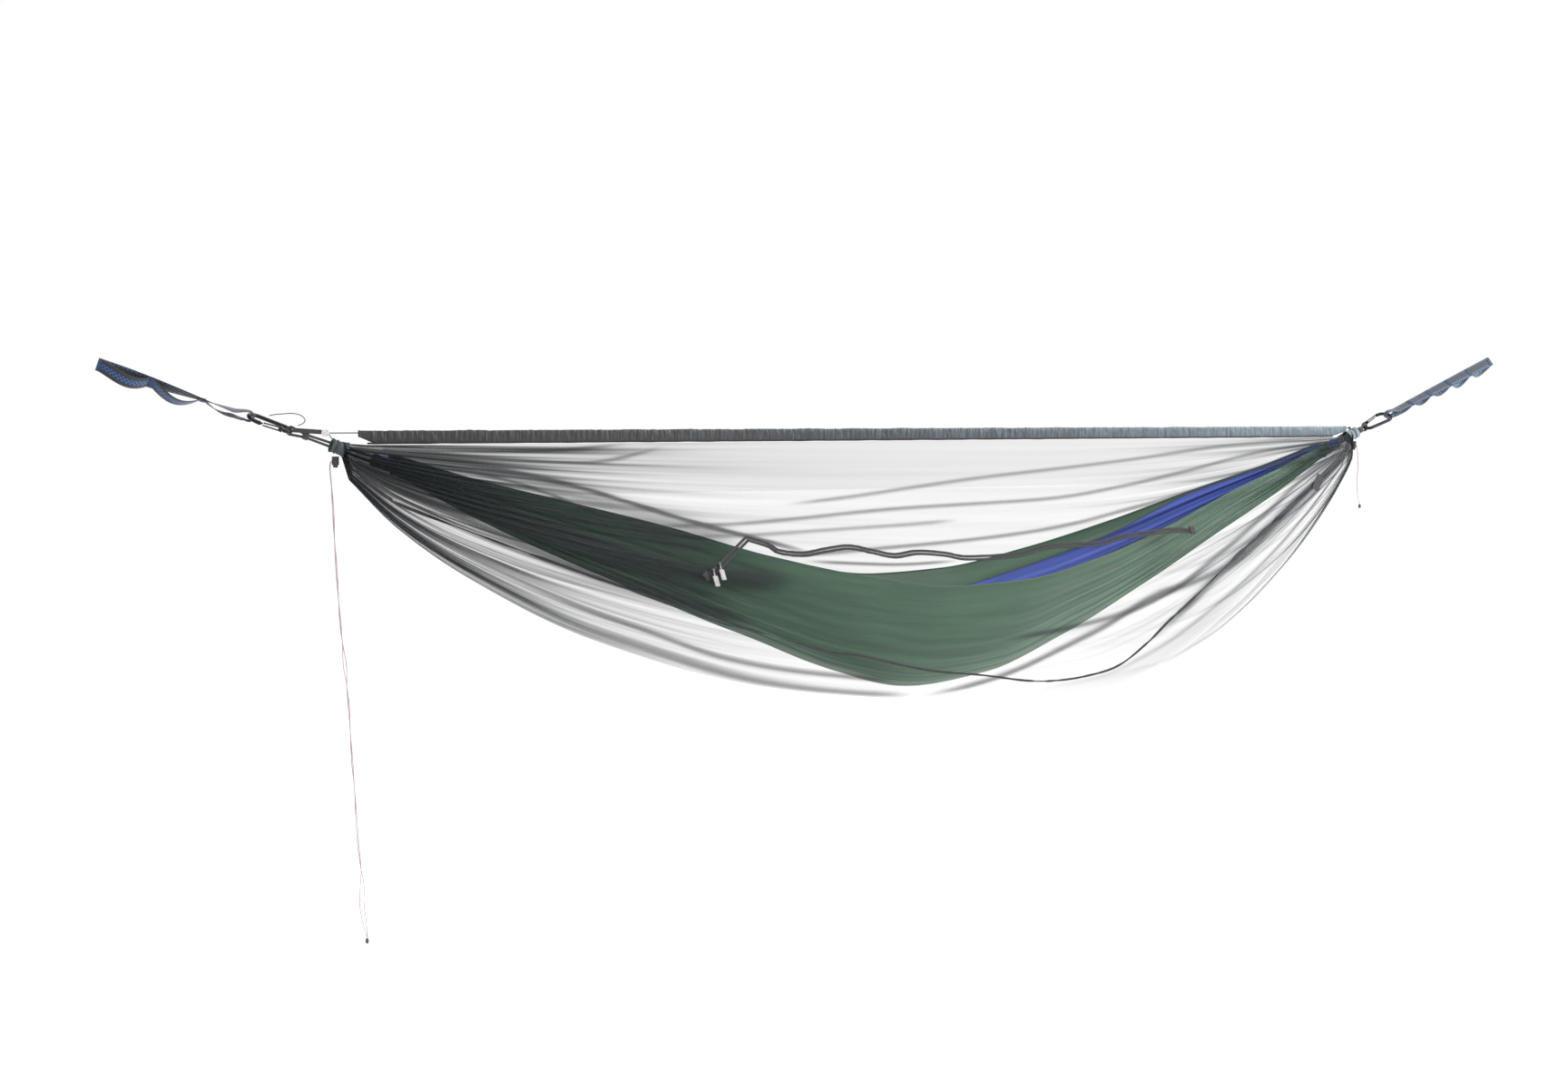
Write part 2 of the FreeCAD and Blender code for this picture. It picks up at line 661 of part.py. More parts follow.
def sleeve():
    """The flat sleeve along the ridge line, and the binding sewn along its lower edge."""
    reach, tall, thick = size("sleeve_reach"), size("sleeve_tall"), size("sleeve_thick")
    box = doc.addObject("Part::Box", "sleeve_block")
    box.setExpression("Length", "2 * Sizes.sleeve_reach")
    box.setExpression("Width", "Sizes.sleeve_thick")
    box.setExpression("Height", "Sizes.sleeve_tall - 4")
    box.Placement = FreeCAD.Placement(place(-reach, -thick / 2, tall - 4.0), FreeCAD.Rotation())
    hole = doc.addObject("Part::Cylinder", "sleeve_hole")
    hole.setExpression("Radius", "Sizes.ridge_line_r + 0.5")
    hole.setExpression("Height", "2 * Sizes.sleeve_reach + 20")
    hole.Placement = FreeCAD.Placement(place(-reach - 10, 0, 4.0), FreeCAD.Rotation(V(0, 1, 0), 90))
    cut = doc.addObject("Part::Cut", "sleeve_shell")
    cut.Base, cut.Tool = box, hole
    node(cut, "net_ridge_sleeve")
    edge = doc.addObject("Part::Box", "binding_block")
    edge.setExpression("Length", "2 * Sizes.sleeve_reach")
    edge.Width = 2.4
    edge.Height = 3.6
    node(edge, "sleeve_binding", FreeCAD.Placement(place(-reach, -1.2, tall - 0.3), FreeCAD.Rotation()))


sleeve()
RIDGE_LEFT = place(-1338.0, 0, 4.0)
RIDGE_RIGHT = place(1290.0, 0, 4.0)
line = doc.addObject("Part::Cylinder", "ridge_line")
line.setExpression("Radius", "Sizes.ridge_line_r")
line.Height = (RIDGE_RIGHT - RIDGE_LEFT).Length
node(line, "ridge_line", FreeCAD.Placement(RIDGE_LEFT, FreeCAD.Rotation(V(0, 1, 0), 90)))
knot = doc.addObject("Part::Ellipsoid", "ridge_knot")
knot.Radius1, knot.Radius2, knot.Radius3 = 3.4, 4.4, 3.4
knot_middle = RIDGE_RIGHT + V(4.4, 0, 0)
node(knot, "ridge_knot", FreeCAD.Placement(knot_middle, FreeCAD.Rotation()))


TAB_WIDE, TAB_THICK = 9.0, 2.4


def ridge_hardware():
    """A webbing tab off the left carabiner and the small metal line tensioner at its end."""
    end = place(-1350.0, 0, 4.0)
    start = left_clip.multVec(V(size("carabiner_span") - 3.0, -13.5, 0)) + V(5.8, -0.6, 4.8)
    finish = end + V(-4.0, -0.4, 2.0)
    owner = body("ridge_tab_body")
    outline = sketch_on(owner, "XY_Plane", "ridge_tab_outline")
    tab_long = (finish - start).Length
    rectangle(outline, "%f" % tab_long, "%f" % TAB_WIDE, "0", "%f" % (-TAB_WIDE / 2))
    pad(owner, outline, "%f" % TAB_THICK, "ridge_tab_pad", midplane=True)
    run = unit(finish - start)
    across = unit(V(0, -1, 0).cross(run))
    node(owner, "ridge_tab", turned(run, across, start))
    owner = body("tensioner_body")
    outline = sketch_on(owner, "XZ_Plane", "tensioner_outline")
    rectangle(outline, "12", "13", "-2.6", "-6.5")
    pad(owner, outline, "4.4", "tensioner_pad", midplane=True)
    doc.recompute()
    holes = sketch_on(owner, "XZ_Plane", "tensioner_holes")
    circle(holes, "1.6", 2.6, 3.2)
    circle(holes, "1.6", 2.6, -3.2)
    circle(holes, "1.4", 6.4, 0.0)
    pocket(owner, holes, "10", "tensioner_pocket")
    node(owner, "ridge_tensioner", FreeCAD.Placement(end, FreeCAD.Rotation()))
    return end


TENSIONER = ridge_hardware()


# ---------------------------------------------------------------- cord locks
def cord_lock(side, top):
    """A barrel lock hanging under a collar: body, sprung plunger and the spring inside."""
    lock_r, tall = size("lock_r"), size("lock_tall")
    plunger_r, long, gap = size("plunger_r"), size("plunger_long"), size("plunger_gap")
    hole_r, travel = size("lock_hole_r"), size("lock_travel")
    rest = FreeCAD.Placement(top, FreeCAD.Rotation())
    roof = 2.2
    hole_z = -8.6
    owner = body(side + "_lock_body")
    outline = sketch_on(owner, "XY_Plane", side + "_lock_outline")
    circle(outline, "Sizes.lock_r")
    barrel = pad(owner, outline, "Sizes.lock_tall", side + "_lock_pad")
    barrel.Reversed = True
    doc.recompute()
    well = sketch_on(owner, "XY_Plane", side + "_lock_well", -roof)
    circle(well, "Sizes.plunger_r + Sizes.plunger_gap")
    pocket(owner, well, "Sizes.lock_tall", side + "_lock_bore", midplane=False)
    doc.recompute()
    cross = sketch_on(owner, "YZ_Plane", side + "_lock_cross")
    circle(cross, "Sizes.lock_hole_r", 0.0, hole_z)
    pocket(owner, cross, "4 * Sizes.lock_r", side + "_lock_through")
    node(owner, side + "_lock_barrel", rest)

    low_z = -tall - travel - 1.0
    owner = body(side + "_plunger_body")
    outline = sketch_on(owner, "XY_Plane", side + "_plunger_outline", low_z)
    circle(outline, "Sizes.plunger_r")
    pad(owner, outline, "Sizes.plunger_long", side + "_plunger_pad")
    doc.recompute()
    cross = sketch_on(owner, "YZ_Plane", side + "_plunger_cross")
    circle(cross, "Sizes.lock_hole_r", 0.0, hole_z - travel + 0.6)
    pocket(owner, cross, "4 * Sizes.lock_r", side + "_plunger_through")
    node(owner, side + "_lock_plunger", rest)

    spring_top, spring_low = -roof - 0.1, low_z + long + 0.1
    wire_r = 0.35
    helix = Part.makeHelix((spring_top - spring_low - 2 * wire_r) / 4.0,
                           spring_top - spring_low - 2 * wire_r, 3.2)
    section = Part.Wire(Part.makeCircle(wire_r, V(3.2, 0, 0), V(0, 1, 0)))
    coil = Part.Wire(helix).makePipeShell([section], True, True)
    seat = FreeCAD.Placement(V(0, 0, spring_low + wire_r), FreeCAD.Rotation())
    feature(side + "_lock_spring", coil, rest.multiply(seat))
    print("lock", side, "spring fixed end z m %.5f, hole at" % ((top.z + spring_top) / 1000),
          top + V(0, 0, hole_z), "hole r", hole_r, "body r", lock_r, "plunger r", plunger_r, gap)
    return top + V(0, 0, hole_z)


LEFT_LOCK_HOLE = cord_lock("left", LEFT_GATHER + V(-2.0, 0, -19.4))
RIGHT_LOCK_HOLE = cord_lock("right", RIGHT_GATHER + V(2.0, 0, -19.0))


# ---------------------------------------------------------------- door zip
# reach and share down the near wall of the coil's route; the first two points are the
# straight stretch that the sliders travel
ZIP_ROUTE = [(-602, 0.565), (-496, 0.397), (-452, 0.416), (-430, 0.438), (-374, 0.441), (-316, 0.420),
             (-259, 0.406), (-207, 0.419), (-155, 0.432), (-95, 0.418), (-27, 0.423), (31, 0.435),
             (162, 0.424), (243, 0.397), (320, 0.392), (400, 0.390), (483, 0.373), (621, 0.373),
             (674, 0.391)]
ZIP_OUT = 7.0


def zip_line():
    """The coil's points with the surface normal at each, straight over the sliders' travel."""
    points = [on_net(reach, down, NEAR, ZIP_OUT) for reach, down in ZIP_ROUTE]
    first, second = points[0], points[1]
    fall = unit(V(0, 0, -1))
    run = unit(second[0] - first[0])
    normal = unit(first[1] + second[1])
    normal = unit(normal - run * normal.dot(run))
    middles = [p[0] for p in points]
    normals = [normal, normal] + [p[1] for p in points[2:]]
    return middles, normals, run, normal, fall


ZIP_MIDDLES, ZIP_NORMALS, ZIP_RUN, ZIP_NORMAL, _ = zip_line()


def zip_band(offset, wide, thick, lift=0.0):
    """A ribbon beside the zip's line, at an offset across it."""
    stations = []
    for k, (middle, normal) in enumerate(zip(ZIP_MIDDLES, ZIP_NORMALS)):
        ahead = ZIP_MIDDLES[min(k + 1, len(ZIP_MIDDLES) - 1)] - ZIP_MIDDLES[max(k - 1, 0)]
        if k < 1:
            ahead = ZIP_RUN
        across = unit(normal.cross(ahead))
        if across.z < 0:
            across = across * -1
        stations.append((middle + across * offset + normal * lift, across, normal, wide, thick))
    return ribbon(stations)


half_coil = size("coil_wide") / 2
tape_off = half_coil + size("tape_wide") / 2
feature("zip_upper_tape", zip_band(tape_off, size("tape_wide"), size("tape_thick")))
feature("zip_lower_tape", zip_band(-tape_off, size("tape_wide"), size("tape_thick")))
feature("zip_coil", zip_band(0.0, size("coil_wide"), size("coil_thick")))


def zip_stop(name, middle, run, normal):
    """A folded fabric tab sewn over one end of the zip."""
    owner = body(name + "_body")
    outline = sketch_on(owner, "XY_Plane", name + "_outline")
    rectangle(outline, "14 mm", "2 * Sizes.tape_wide + Sizes.coil_wide + 4",
              "-7 mm", "-(Sizes.tape_wide + Sizes.coil_wide / 2 + 2)")
    pad(owner, outline, "3.6 mm", name + "_pad", midplane=True)
    node(owner, name, turned(run, normal.cross(run), middle))


STOP_OFF = 7.4
zip_stop("zip_left_stop", ZIP_MIDDLES[0] - ZIP_RUN * STOP_OFF, ZIP_RUN, ZIP_NORMAL)
last_run = unit(ZIP_MIDDLES[-1] - ZIP_MIDDLES[-2])
last_normal = unit(ZIP_NORMALS[-1] - last_run * ZIP_NORMALS[-1].dot(last_run))
zip_stop("zip_right_stop", ZIP_MIDDLES[-1] + last_run * STOP_OFF, last_run, last_normal)

SLIDER_STARTS = {"rear": 9.0, "lead": 32.0}     # along the straight stretch
SLIDER_GAP = 0.45


def zip_slider(name, along_mm):
    """A slider: two plates joined by a bridge post, with a bail for the pull."""
    plate = size("slider_plate")
    inner = size("coil_thick") / 2 + SLIDER_GAP
    middle = ZIP_MIDDLES[0] + ZIP_RUN * along_mm
    owner = body("zip_slider_%s_body" % name)
    outline = sketch_on(owner, "XY_Plane", "slider_%s_outline" % name, inner)
    rectangle(outline, "Sizes.slider_long", "Sizes.slider_wide", "-Sizes.slider_long / 2",
              "-Sizes.slider_wide / 2")
    pad(owner, outline, "Sizes.slider_plate", "slider_%s_top" % name)
    doc.recompute()
    bail = sketch_on(owner, "XY_Plane", "slider_%s_bail" % name, inner + plate - 0.1)
    rectangle(bail, "1.6 mm", "2.2 mm", "-4.6 mm", "-1.1 mm")
    rectangle(bail, "1.6 mm", "2.2 mm", "3.0 mm", "-1.1 mm")
    pad(owner, bail, "3.6 mm", "slider_%s_posts" % name)
    doc.recompute()
    bridge = sketch_on(owner, "XY_Plane", "slider_%s_bridge" % name, inner + plate + 3.3)
    rectangle(bridge, "9.2 mm", "2.2 mm", "-4.6 mm", "-1.1 mm")
    pad(owner, bridge, "1.2 mm", "slider_%s_bar" % name)
    placement = turned(ZIP_RUN, ZIP_NORMAL.cross(ZIP_RUN), middle)
    node(owner, "zip_slider_" + name, placement)
    hinge = placement.multVec(V(0, 0, inner + plate + 3.9))
    print("slider %s middle %s run %s hinge %s" % (name, middle, ZIP_RUN, hinge))
    return hinge


def zip_pull(name, hinge):
    """A moulded tab on a ring round the slider's bar; it lies down the slope of the net wall."""
    owner = body("zip_pull_%s_body" % name)
    ring = sketch_on(owner, "YZ_Plane", "pull_%s_ring" % name)
    circle(ring, "3.6")
    circle(ring, "2.7")
    pad(owner, ring, "1.2", "pull_%s_eye" % name, midplane=True)
    doc.recompute()
    neck = sketch_on(owner, "XZ_Plane", "pull_%s_neck" % name)
    rectangle(neck, "2", "11.2", "-1", "-14.4")
    pad(owner, neck, "1.6", "pull_%s_loop" % name, midplane=True)
    doc.recompute()
    outline = sketch_on(owner, "XZ_Plane", "pull_%s_outline" % name)
    rectangle(outline, "Sizes.tab_wide", "Sizes.tab_long", "-Sizes.tab_wide / 2",
              "-(Sizes.tab_long + 14)")
    pad(owner, outline, "Sizes.tab_thick", "pull_%s_tab" % name, midplane=True)
    axis = WALL_NORMAL.cross(WALL_FALL)
    print("pull %s axis %s" % (name, axis))
    node(owner, "zip_pull_" + name, turned(axis, WALL_NORMAL * -1, hinge))


_, WALL_NORMAL, WALL_FALL = on_net(-540.0, 0.42, NEAR)
for slider in ("rear", "lead"):
    zip_pull(slider, zip_slider(slider, SLIDER_STARTS[slider]))


# ---------------------------------------------------------------- lower seam and label
SEAM_ROUTE = [(-1195, 0.720), (-1006, 0.671), (-864, 0.681), (-754, 0.701), (-582, 0.750), (-499, 0.757),
              (-332, 0.800), (-253, 0.806), (-120, 0.838), (-37, 0.854), (81, 0.864), (201, 0.886),
              (282, 0.889), (368, 0.876), (451, 0.850), (517, 0.776), (568, 0.706), (629, 0.653),
              (742, 0.571), (825, 0.538), (935, 0.504), (1060, 0.455), (1151, 0.420), (1230, 0.360),
              (1255, 0.335), (1272, 0.315)]


SEAM_OUT = 3.4


def lower_seam():
    """The bound seam along the foot of the near wall."""
    stations = []
    for (reach, down), (next_reach, next_down) in zip(SEAM_ROUTE, SEAM_ROUTE[1:]):
        for share in (0.0, 0.25, 0.5, 0.75):
            middle, normal, fall = on_net(reach + (next_reach - reach) * share,
                                          down + (next_down - down) * share, NEAR, SEAM_OUT)
            stations.append((middle, fall, normal, 9.0, 1.6))
    feature("net_lower_seam", ribbon(stations))


lower_seam()
LABEL_AT = (1119.0, 0.452)


def label():
    """A plain folded fabric label sewn to the seam."""
    middle, normal, fall = on_net(LABEL_AT[0], LABEL_AT[1], NEAR, SEAM_OUT + 4.0)
    run = unit(normal.cross(fall))
    owner = body("net_label_body")
    outline = sketch_on(owner, "XY_Plane", "net_label_outline")
    rectangle(outline, "Sizes.label_long", "Sizes.label_wide", "-Sizes.label_long / 2",
              "-Sizes.label_wide / 2")
    pad(owner, outline, "Sizes.label_thick", "net_label_pad", midplane=True)
    tilt = math.radians(-50.0)
    level = V(1, 0, 0) - normal * V(1, 0, 0).dot(normal)
    up = unit(normal.cross(unit(level)))
    if up.z < 0:
        up = up * -1
    x_dir = unit(level) * math.cos(tilt) * -1 + up * math.sin(tilt)
    y_dir = unit(normal.cross(x_dir))
    node(owner, "net_label", turned(x_dir, y_dir, middle))
    return run


label()


# ---------------------------------------------------------------- tails, tie and keeper loop
def route(points, base):
    return [base + V(*p) for p in points]


# offsets from the left lock's cross hole, mm
LEFT_TAIL_A = [(-7.4, 1.7, 0), (-10.4, 1.8, -5), (-11.4, 1.7, -17), (-9, 1.7, -42), (-4.3, 0, -94),
               (-4.5, -1.7, -152), (-3.2, 0, -210), (1.5, 1.7, -268), (6.7, -0.2, -327), (8.4, -2.4, -380),
               (8.6, -1.7, -412), (14.8, -1.7, -446), (21.7, 0, -498), (22, 1.7, -556), (23.3, 0, -614),
               (29, -1.7, -672), (33.4, 0, -730), (36, 1.8, -782), (40.5, 0.4, -826), (36, -2.4, -868),
               (34.5, -2.2, -906), (41, -1.9, -940), (49.5, -1.7, -972)]
LEFT_TAIL_B = [(-7.4, -1.7, 0), (-10.4, -1.8, -5), (-11.4, -1.7, -17), (-9, -1.7, -42), (-7.7, 0, -94),
               (-4.5, 1.7, -152), (0.2, 0, -210), (1.5, -1.7, -268), (3.3, 0.2, -327), (11.4, 2.4, -380),
               (17.4, 1.9, -410), (16, 1.8, -446), (18.3, 0, -498), (22, -1.7, -556), (26.7, 0, -614),
               (29, 1.7, -672), (30, 0, -730), (32.5, -1.8, -782), (39, 3.2, -826), (46.5, 2.6, -862),
               (44, 2.3, -900), (49.5, 2.0, -938), (51, 1.7, -972)]
RIGHT_TAIL = [(7.6, 0, 0), (11, 0.2, -3.5), (14, 0.5, -12), (17, 0.8, -34), (17.5, 0.2, -60), (14, -0.6, -88),
              (14.5, -0.8, -116), (18, -0.4, -138), (24, 0, -154)]


def tail(name, points, base):
    path = route(points, base)
    feature(name, tube(path, size("tail_r"), name))
    return path[-1]


left_end_a = tail("left_tail_a", LEFT_TAIL_A, LEFT_LOCK_HOLE)
left_end_b = tail("left_tail_b", LEFT_TAIL_B, LEFT_LOCK_HOLE)
right_end = tail("right_tail", RIGHT_TAIL, RIGHT_LOCK_HOLE)


def tail_knot(name, at):
    ball = doc.addObject("Part::Ellipsoid", name)
    ball.setExpression("Radius1", "Sizes.knot_r * 1.5")
    ball.setExpression("Radius2", "Sizes.knot_r")
    ball.setExpression("Radius3", "Sizes.knot_r")
    ball.Angle1, ball.Angle2, ball.Angle3 = -90, 90, 360
    node(ball, name, FreeCAD.Placement(at, FreeCAD.Rotation()))


tail_knot("left_tail_knot", (left_end_a + left_end_b) * 0.5 + V(-0.5, 0, -6.2))
tail_knot("right_tail_knot", right_end + V(0.8, 0, -6.2))

TIE = [(10.9, -0.8, -3.0), (12.5, -5.5, -6.5), (15, -11, -11.5), (19, -16, -19.5)]
feature("ridge_tie", tube(route(TIE, TENSIONER), size("tail_r"), "ridge_tie"))
KEEPER = [(43, 17, 0.5), (53, 13, 3), (67, 7, 4), (82, 2, 5.5), (96, -2, 3.5), (106, -4, -2.5),
          (109, -4.5, -10), (103, -4, -16), (94, -4, -19)]
feature("keeper_loop", tube(route(KEEPER, LEFT_CONTACT), 0.9, "keeper_loop"))


# ---------------------------------------------------------------- check and write
def check_and_write():
    doc.recompute()
    for obj in doc.Objects:
        if "Invalid" in obj.State or "Error" in obj.State:
            raise RuntimeError("%s is %s" % (obj.Name, obj.State))
    os.makedirs("parts", exist_ok=True)
    for obj in NODES:
        shape = obj.Shape
        if shape.isNull() or not shape.isValid() or shape.Volume <= 0:
            raise RuntimeError("%s has no valid solid" % obj.Label)
        shape.exportStep("parts/%s.step" % obj.Label)
    print("%d nodes" % len(NODES))


check_and_write()
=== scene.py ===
"""Camping hammock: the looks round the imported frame. Metres, +X to the right strap, near side -Y."""

import math

import bpy
from mathutils import Matrix, Vector, noise


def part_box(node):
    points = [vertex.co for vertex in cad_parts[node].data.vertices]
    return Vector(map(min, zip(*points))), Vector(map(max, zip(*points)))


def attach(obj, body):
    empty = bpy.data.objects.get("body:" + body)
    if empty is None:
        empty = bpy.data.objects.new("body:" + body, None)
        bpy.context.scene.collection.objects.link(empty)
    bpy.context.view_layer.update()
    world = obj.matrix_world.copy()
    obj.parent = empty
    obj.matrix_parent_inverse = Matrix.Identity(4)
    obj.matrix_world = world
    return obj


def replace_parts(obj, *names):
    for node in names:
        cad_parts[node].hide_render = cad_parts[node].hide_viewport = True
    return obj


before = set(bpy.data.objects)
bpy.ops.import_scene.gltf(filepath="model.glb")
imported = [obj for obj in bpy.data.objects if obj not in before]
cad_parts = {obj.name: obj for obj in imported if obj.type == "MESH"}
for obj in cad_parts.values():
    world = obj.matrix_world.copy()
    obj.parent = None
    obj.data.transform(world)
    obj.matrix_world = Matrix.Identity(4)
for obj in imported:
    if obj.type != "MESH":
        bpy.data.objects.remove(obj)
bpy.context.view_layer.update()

V = Vector
MM = 0.001
MID = 1.774
RIDGE_Z = -0.128
NEAR, FAR = -1, 1


def place(reach, y, drop):
    """A point from its reach along the hammock's middle and its drop below the ridge line, in mm."""
    return V((MID + reach * MM, y * MM, RIDGE_Z - drop * MM))


# ---------------- camera, light and floor
FLOOR_Z = -1.62


def area_light(name, at, target, wide, power, colour):
    data = bpy.data.lights.new(name, "AREA")
    data.shape, data.size, data.energy, data.color = "DISK", wide, power, colour
    lamp = bpy.data.objects.new(name, data)
    bpy.context.collection.objects.link(lamp)
    lamp.location = at
    lamp.rotation_euler = (V(target) - V(at)).to_track_quat("-Z", "Y").to_euler()


def studio():
    data = bpy.data.cameras.new("camera")
    data.sensor_width, data.lens = 36.0, 45.0
    data.clip_end = 100.0
    camera = bpy.data.objects.new("camera", data)
    bpy.context.collection.objects.link(camera)
    camera.location = (MID - 2.25, -3.90, RIDGE_Z + 0.040)
    camera.rotation_euler = (math.radians(90 - 3.9), 0, math.radians(-26.2))
    bpy.context.scene.camera = camera

    world = bpy.data.worlds.new("studio")
    world.use_nodes = True
    back = world.node_tree.nodes["Background"]
    back.inputs["Color"].default_value = (1.0, 1.0, 1.0, 1)
    back.inputs["Strength"].default_value = 1.0
    bpy.context.scene.world = world
    bpy.context.scene.view_settings.view_transform = "Standard"

    area_light("key", (5.6, -2.6, 1.9), (2.6, 0, -0.3), 1.6, 260, (1.0, 0.99, 0.97))
    area_light("top", (1.8, 0.6, 3.4), (1.8, 0, 0), 3.0, 120, (0.97, 0.98, 1.0))

    bpy.ops.mesh.primitive_plane_add(size=60, location=(MID, 0, FLOOR_Z))
    floor = bpy.context.object
    floor.name = "floor"
    mat, _, _, shader = material("floor_paper")
    shader.inputs["Base Color"].default_value = (0.94, 0.94, 0.94, 1)
    shader.inputs["Roughness"].default_value = 0.9
    shader.inputs["Emission Color"].default_value = (1, 1, 1, 1)
    shader.inputs["Emission Strength"].default_value = 0.18
    floor.data.materials.append(mat)


# ---------------- node helpers
def material(name):
    mat = bpy.data.materials.new(name)
    mat.use_nodes = True
    tree = mat.node_tree
    return mat, tree.nodes, tree.links, tree.nodes["Principled BSDF"]


def put(nodes, kind, **values):
    """A node with its properties and default inputs set."""
    item = nodes.new(kind)
    for key, value in values.items():
        if key in item.inputs:
            item.inputs[key].default_value = value
        else:
            setattr(item, key, value)
    return item


def math_node(tree, operation, a, b=None):
    item = tree.nodes.new("ShaderNodeMath")
    item.operation = operation
    for slot_no, value in ((0, a), (1, b)):
        if value is None:
            continue
        if isinstance(value, (int, float)):
            item.inputs[slot_no].default_value = value
        else:
            tree.links.new(value, item.inputs[slot_no])
    return item.outputs[0]


def ramp(tree, source, stops):
    item = tree.nodes.new("ShaderNodeValToRGB")
    bands = item.color_ramp.elements
    bands[0].position, bands[0].color = stops[0][0], (*stops[0][1], 1)
    bands[1].position, bands[1].color = stops[-1][0], (*stops[-1][1], 1)
    for at, colour in stops[1:-1]:
        bands.new(at).color = (*colour, 1)
    tree.links.new(source, item.inputs["Fac"])
    return item.outputs["Color"]


def bump(tree, height, strength, distance, shader):
    item = tree.nodes.new("ShaderNodeBump")
    item.inputs["Strength"].default_value = strength
    item.inputs["Distance"].default_value = distance
    tree.links.new(height, item.inputs["Height"])
    tree.links.new(item.outputs["Normal"], shader.inputs["Normal"])


def uv_axes(tree):
    """The fabric's own coordinates in metres: u along, v across."""
    uv = tree.nodes.new("ShaderNodeUVMap")
    uv.uv_map = "UVMap"
    split = tree.nodes.new("ShaderNodeSeparateXYZ")
    tree.links.new(uv.outputs["UV"], split.inputs[0])
    return split.outputs[0], split.outputs[1]


def object_coords(tree):
    return tree.nodes.new("ShaderNodeTexCoord").outputs["Object"]


def waves(tree, source, per_metre):
    """0..1 waves along a coordinate."""
    turned = math_node(tree, "SINE", math_node(tree, "MULTIPLY", source, per_metre * 2 * math.pi))
    return math_node(tree, "MULTIPLY_ADD", turned, 0.5)


# ---------------- materials
def nylon(name, deep, lit, streak):
    """Ripstop nylon: fine grid, soft sheen and lengthwise creases, with painted shade and highlight drifting
    slowly along the creases.
    """
    mat, nodes, links, shader = material(name)
    tree = mat.node_tree
    u, v = uv_axes(tree)
    coords = put(nodes, "ShaderNodeCombineXYZ")
    links.new(math_node(tree, "MULTIPLY", u, 2.2), coords.inputs[0])
    links.new(math_node(tree, "MULTIPLY", v, 26.0), coords.inputs[1])
    creases = put(nodes, "ShaderNodeTexNoise", Scale=1.0, Detail=5.0, Roughness=0.6)
    links.new(coords.outputs[0], creases.inputs["Vector"])
    # painted shade and highlight: the crease noise runs each nylon from its shaded to its lit colour
    colour = ramp(tree, creases.outputs["Fac"], [(0.25, deep), (0.5, streak), (0.78, lit)])
    grid_u = math_node(tree, "GREATER_THAN", waves(tree, u, 180), 0.97)
    grid_v = math_node(tree, "GREATER_THAN", waves(tree, v, 180), 0.97)
    grid = math_node(tree, "MAXIMUM", grid_u, grid_v)
    mix = put(nodes, "ShaderNodeMix", data_type="RGBA", blend_type="MULTIPLY")
    links.new(math_node(tree, "MULTIPLY", grid, 0.25), mix.inputs["Factor"])
    links.new(colour, mix.inputs["A"])
    mix.inputs["B"].default_value = (0.55, 0.6, 0.6, 1)
    links.new(mix.outputs["Result"], shader.inputs["Base Color"])
    rough = put(nodes, "ShaderNodeMapRange", **{"To Min": 0.42, "To Max": 0.62})
    links.new(creases.outputs["Fac"], rough.inputs["Value"])
    links.new(rough.outputs["Result"], shader.inputs["Roughness"])
    shader.inputs["Sheen Weight"].default_value = 0.12
    shader.inputs["Sheen Roughness"].default_value = 0.4
    height = math_node(tree, "ADD", math_node(tree, "MULTIPLY", creases.outputs["Fac"], 1.0),
                       math_node(tree, "MULTIPLY", grid, 0.04))
    bump(tree, height, 0.5, 0.004, shader)
    return mat


def netting(name, colour):
    """Fine knitted mesh: see-through by the density painted from how gathered the fabric is, partly painted
    shade; its colour is made paler by a painted light tone.
    """
    mat, nodes, links, shader = material(name)
    tree = mat.node_tree
    density = put(nodes, "ShaderNodeVertexColor", layer_name="mesh_layers_and_painted_light")
    split = tree.nodes.new("ShaderNodeSeparateColor")
    links.new(density.outputs["Color"], split.inputs[0])
    u, v = uv_axes(tree)
    weave = math_node(tree, "MULTIPLY", waves(tree, u, 620), waves(tree, v, 620))
    fine = put(nodes, "ShaderNodeMapRange", **{"To Min": 0.86, "To Max": 1.14})
    links.new(weave, fine.inputs["Value"])
    links.new(math_node(tree, "MULTIPLY", split.outputs[0], fine.outputs["Result"]), shader.inputs["Alpha"])
    # painted light: the mesh colour moves towards its brighter copy where the painted lit tone is high
    tone = put(nodes, "ShaderNodeMix", data_type="RGBA")
    tone.inputs["A"].default_value = (*colour, 1)
    tone.inputs["B"].default_value = (colour[0] * 2.1, colour[1] * 2.3, colour[2] * 2.4, 1)
    links.new(split.outputs[1], tone.inputs["Factor"])
    links.new(tone.outputs["Result"], shader.inputs["Base Color"])
    shader.inputs["Roughness"].default_value = 0.75
    shader.inputs["Specular IOR Level"].default_value = 0.15
    bump(tree, weave, 0.15, 0.0004, shader)
    return mat


ZIG_HALF, THREAD_HALF = 0.0042, 0.0009      # the zigzag's half cell and its thread's half width
EDGE_FROM, EDGE_TO, BAND_HALF = 0.006, 0.0112, 0.0052


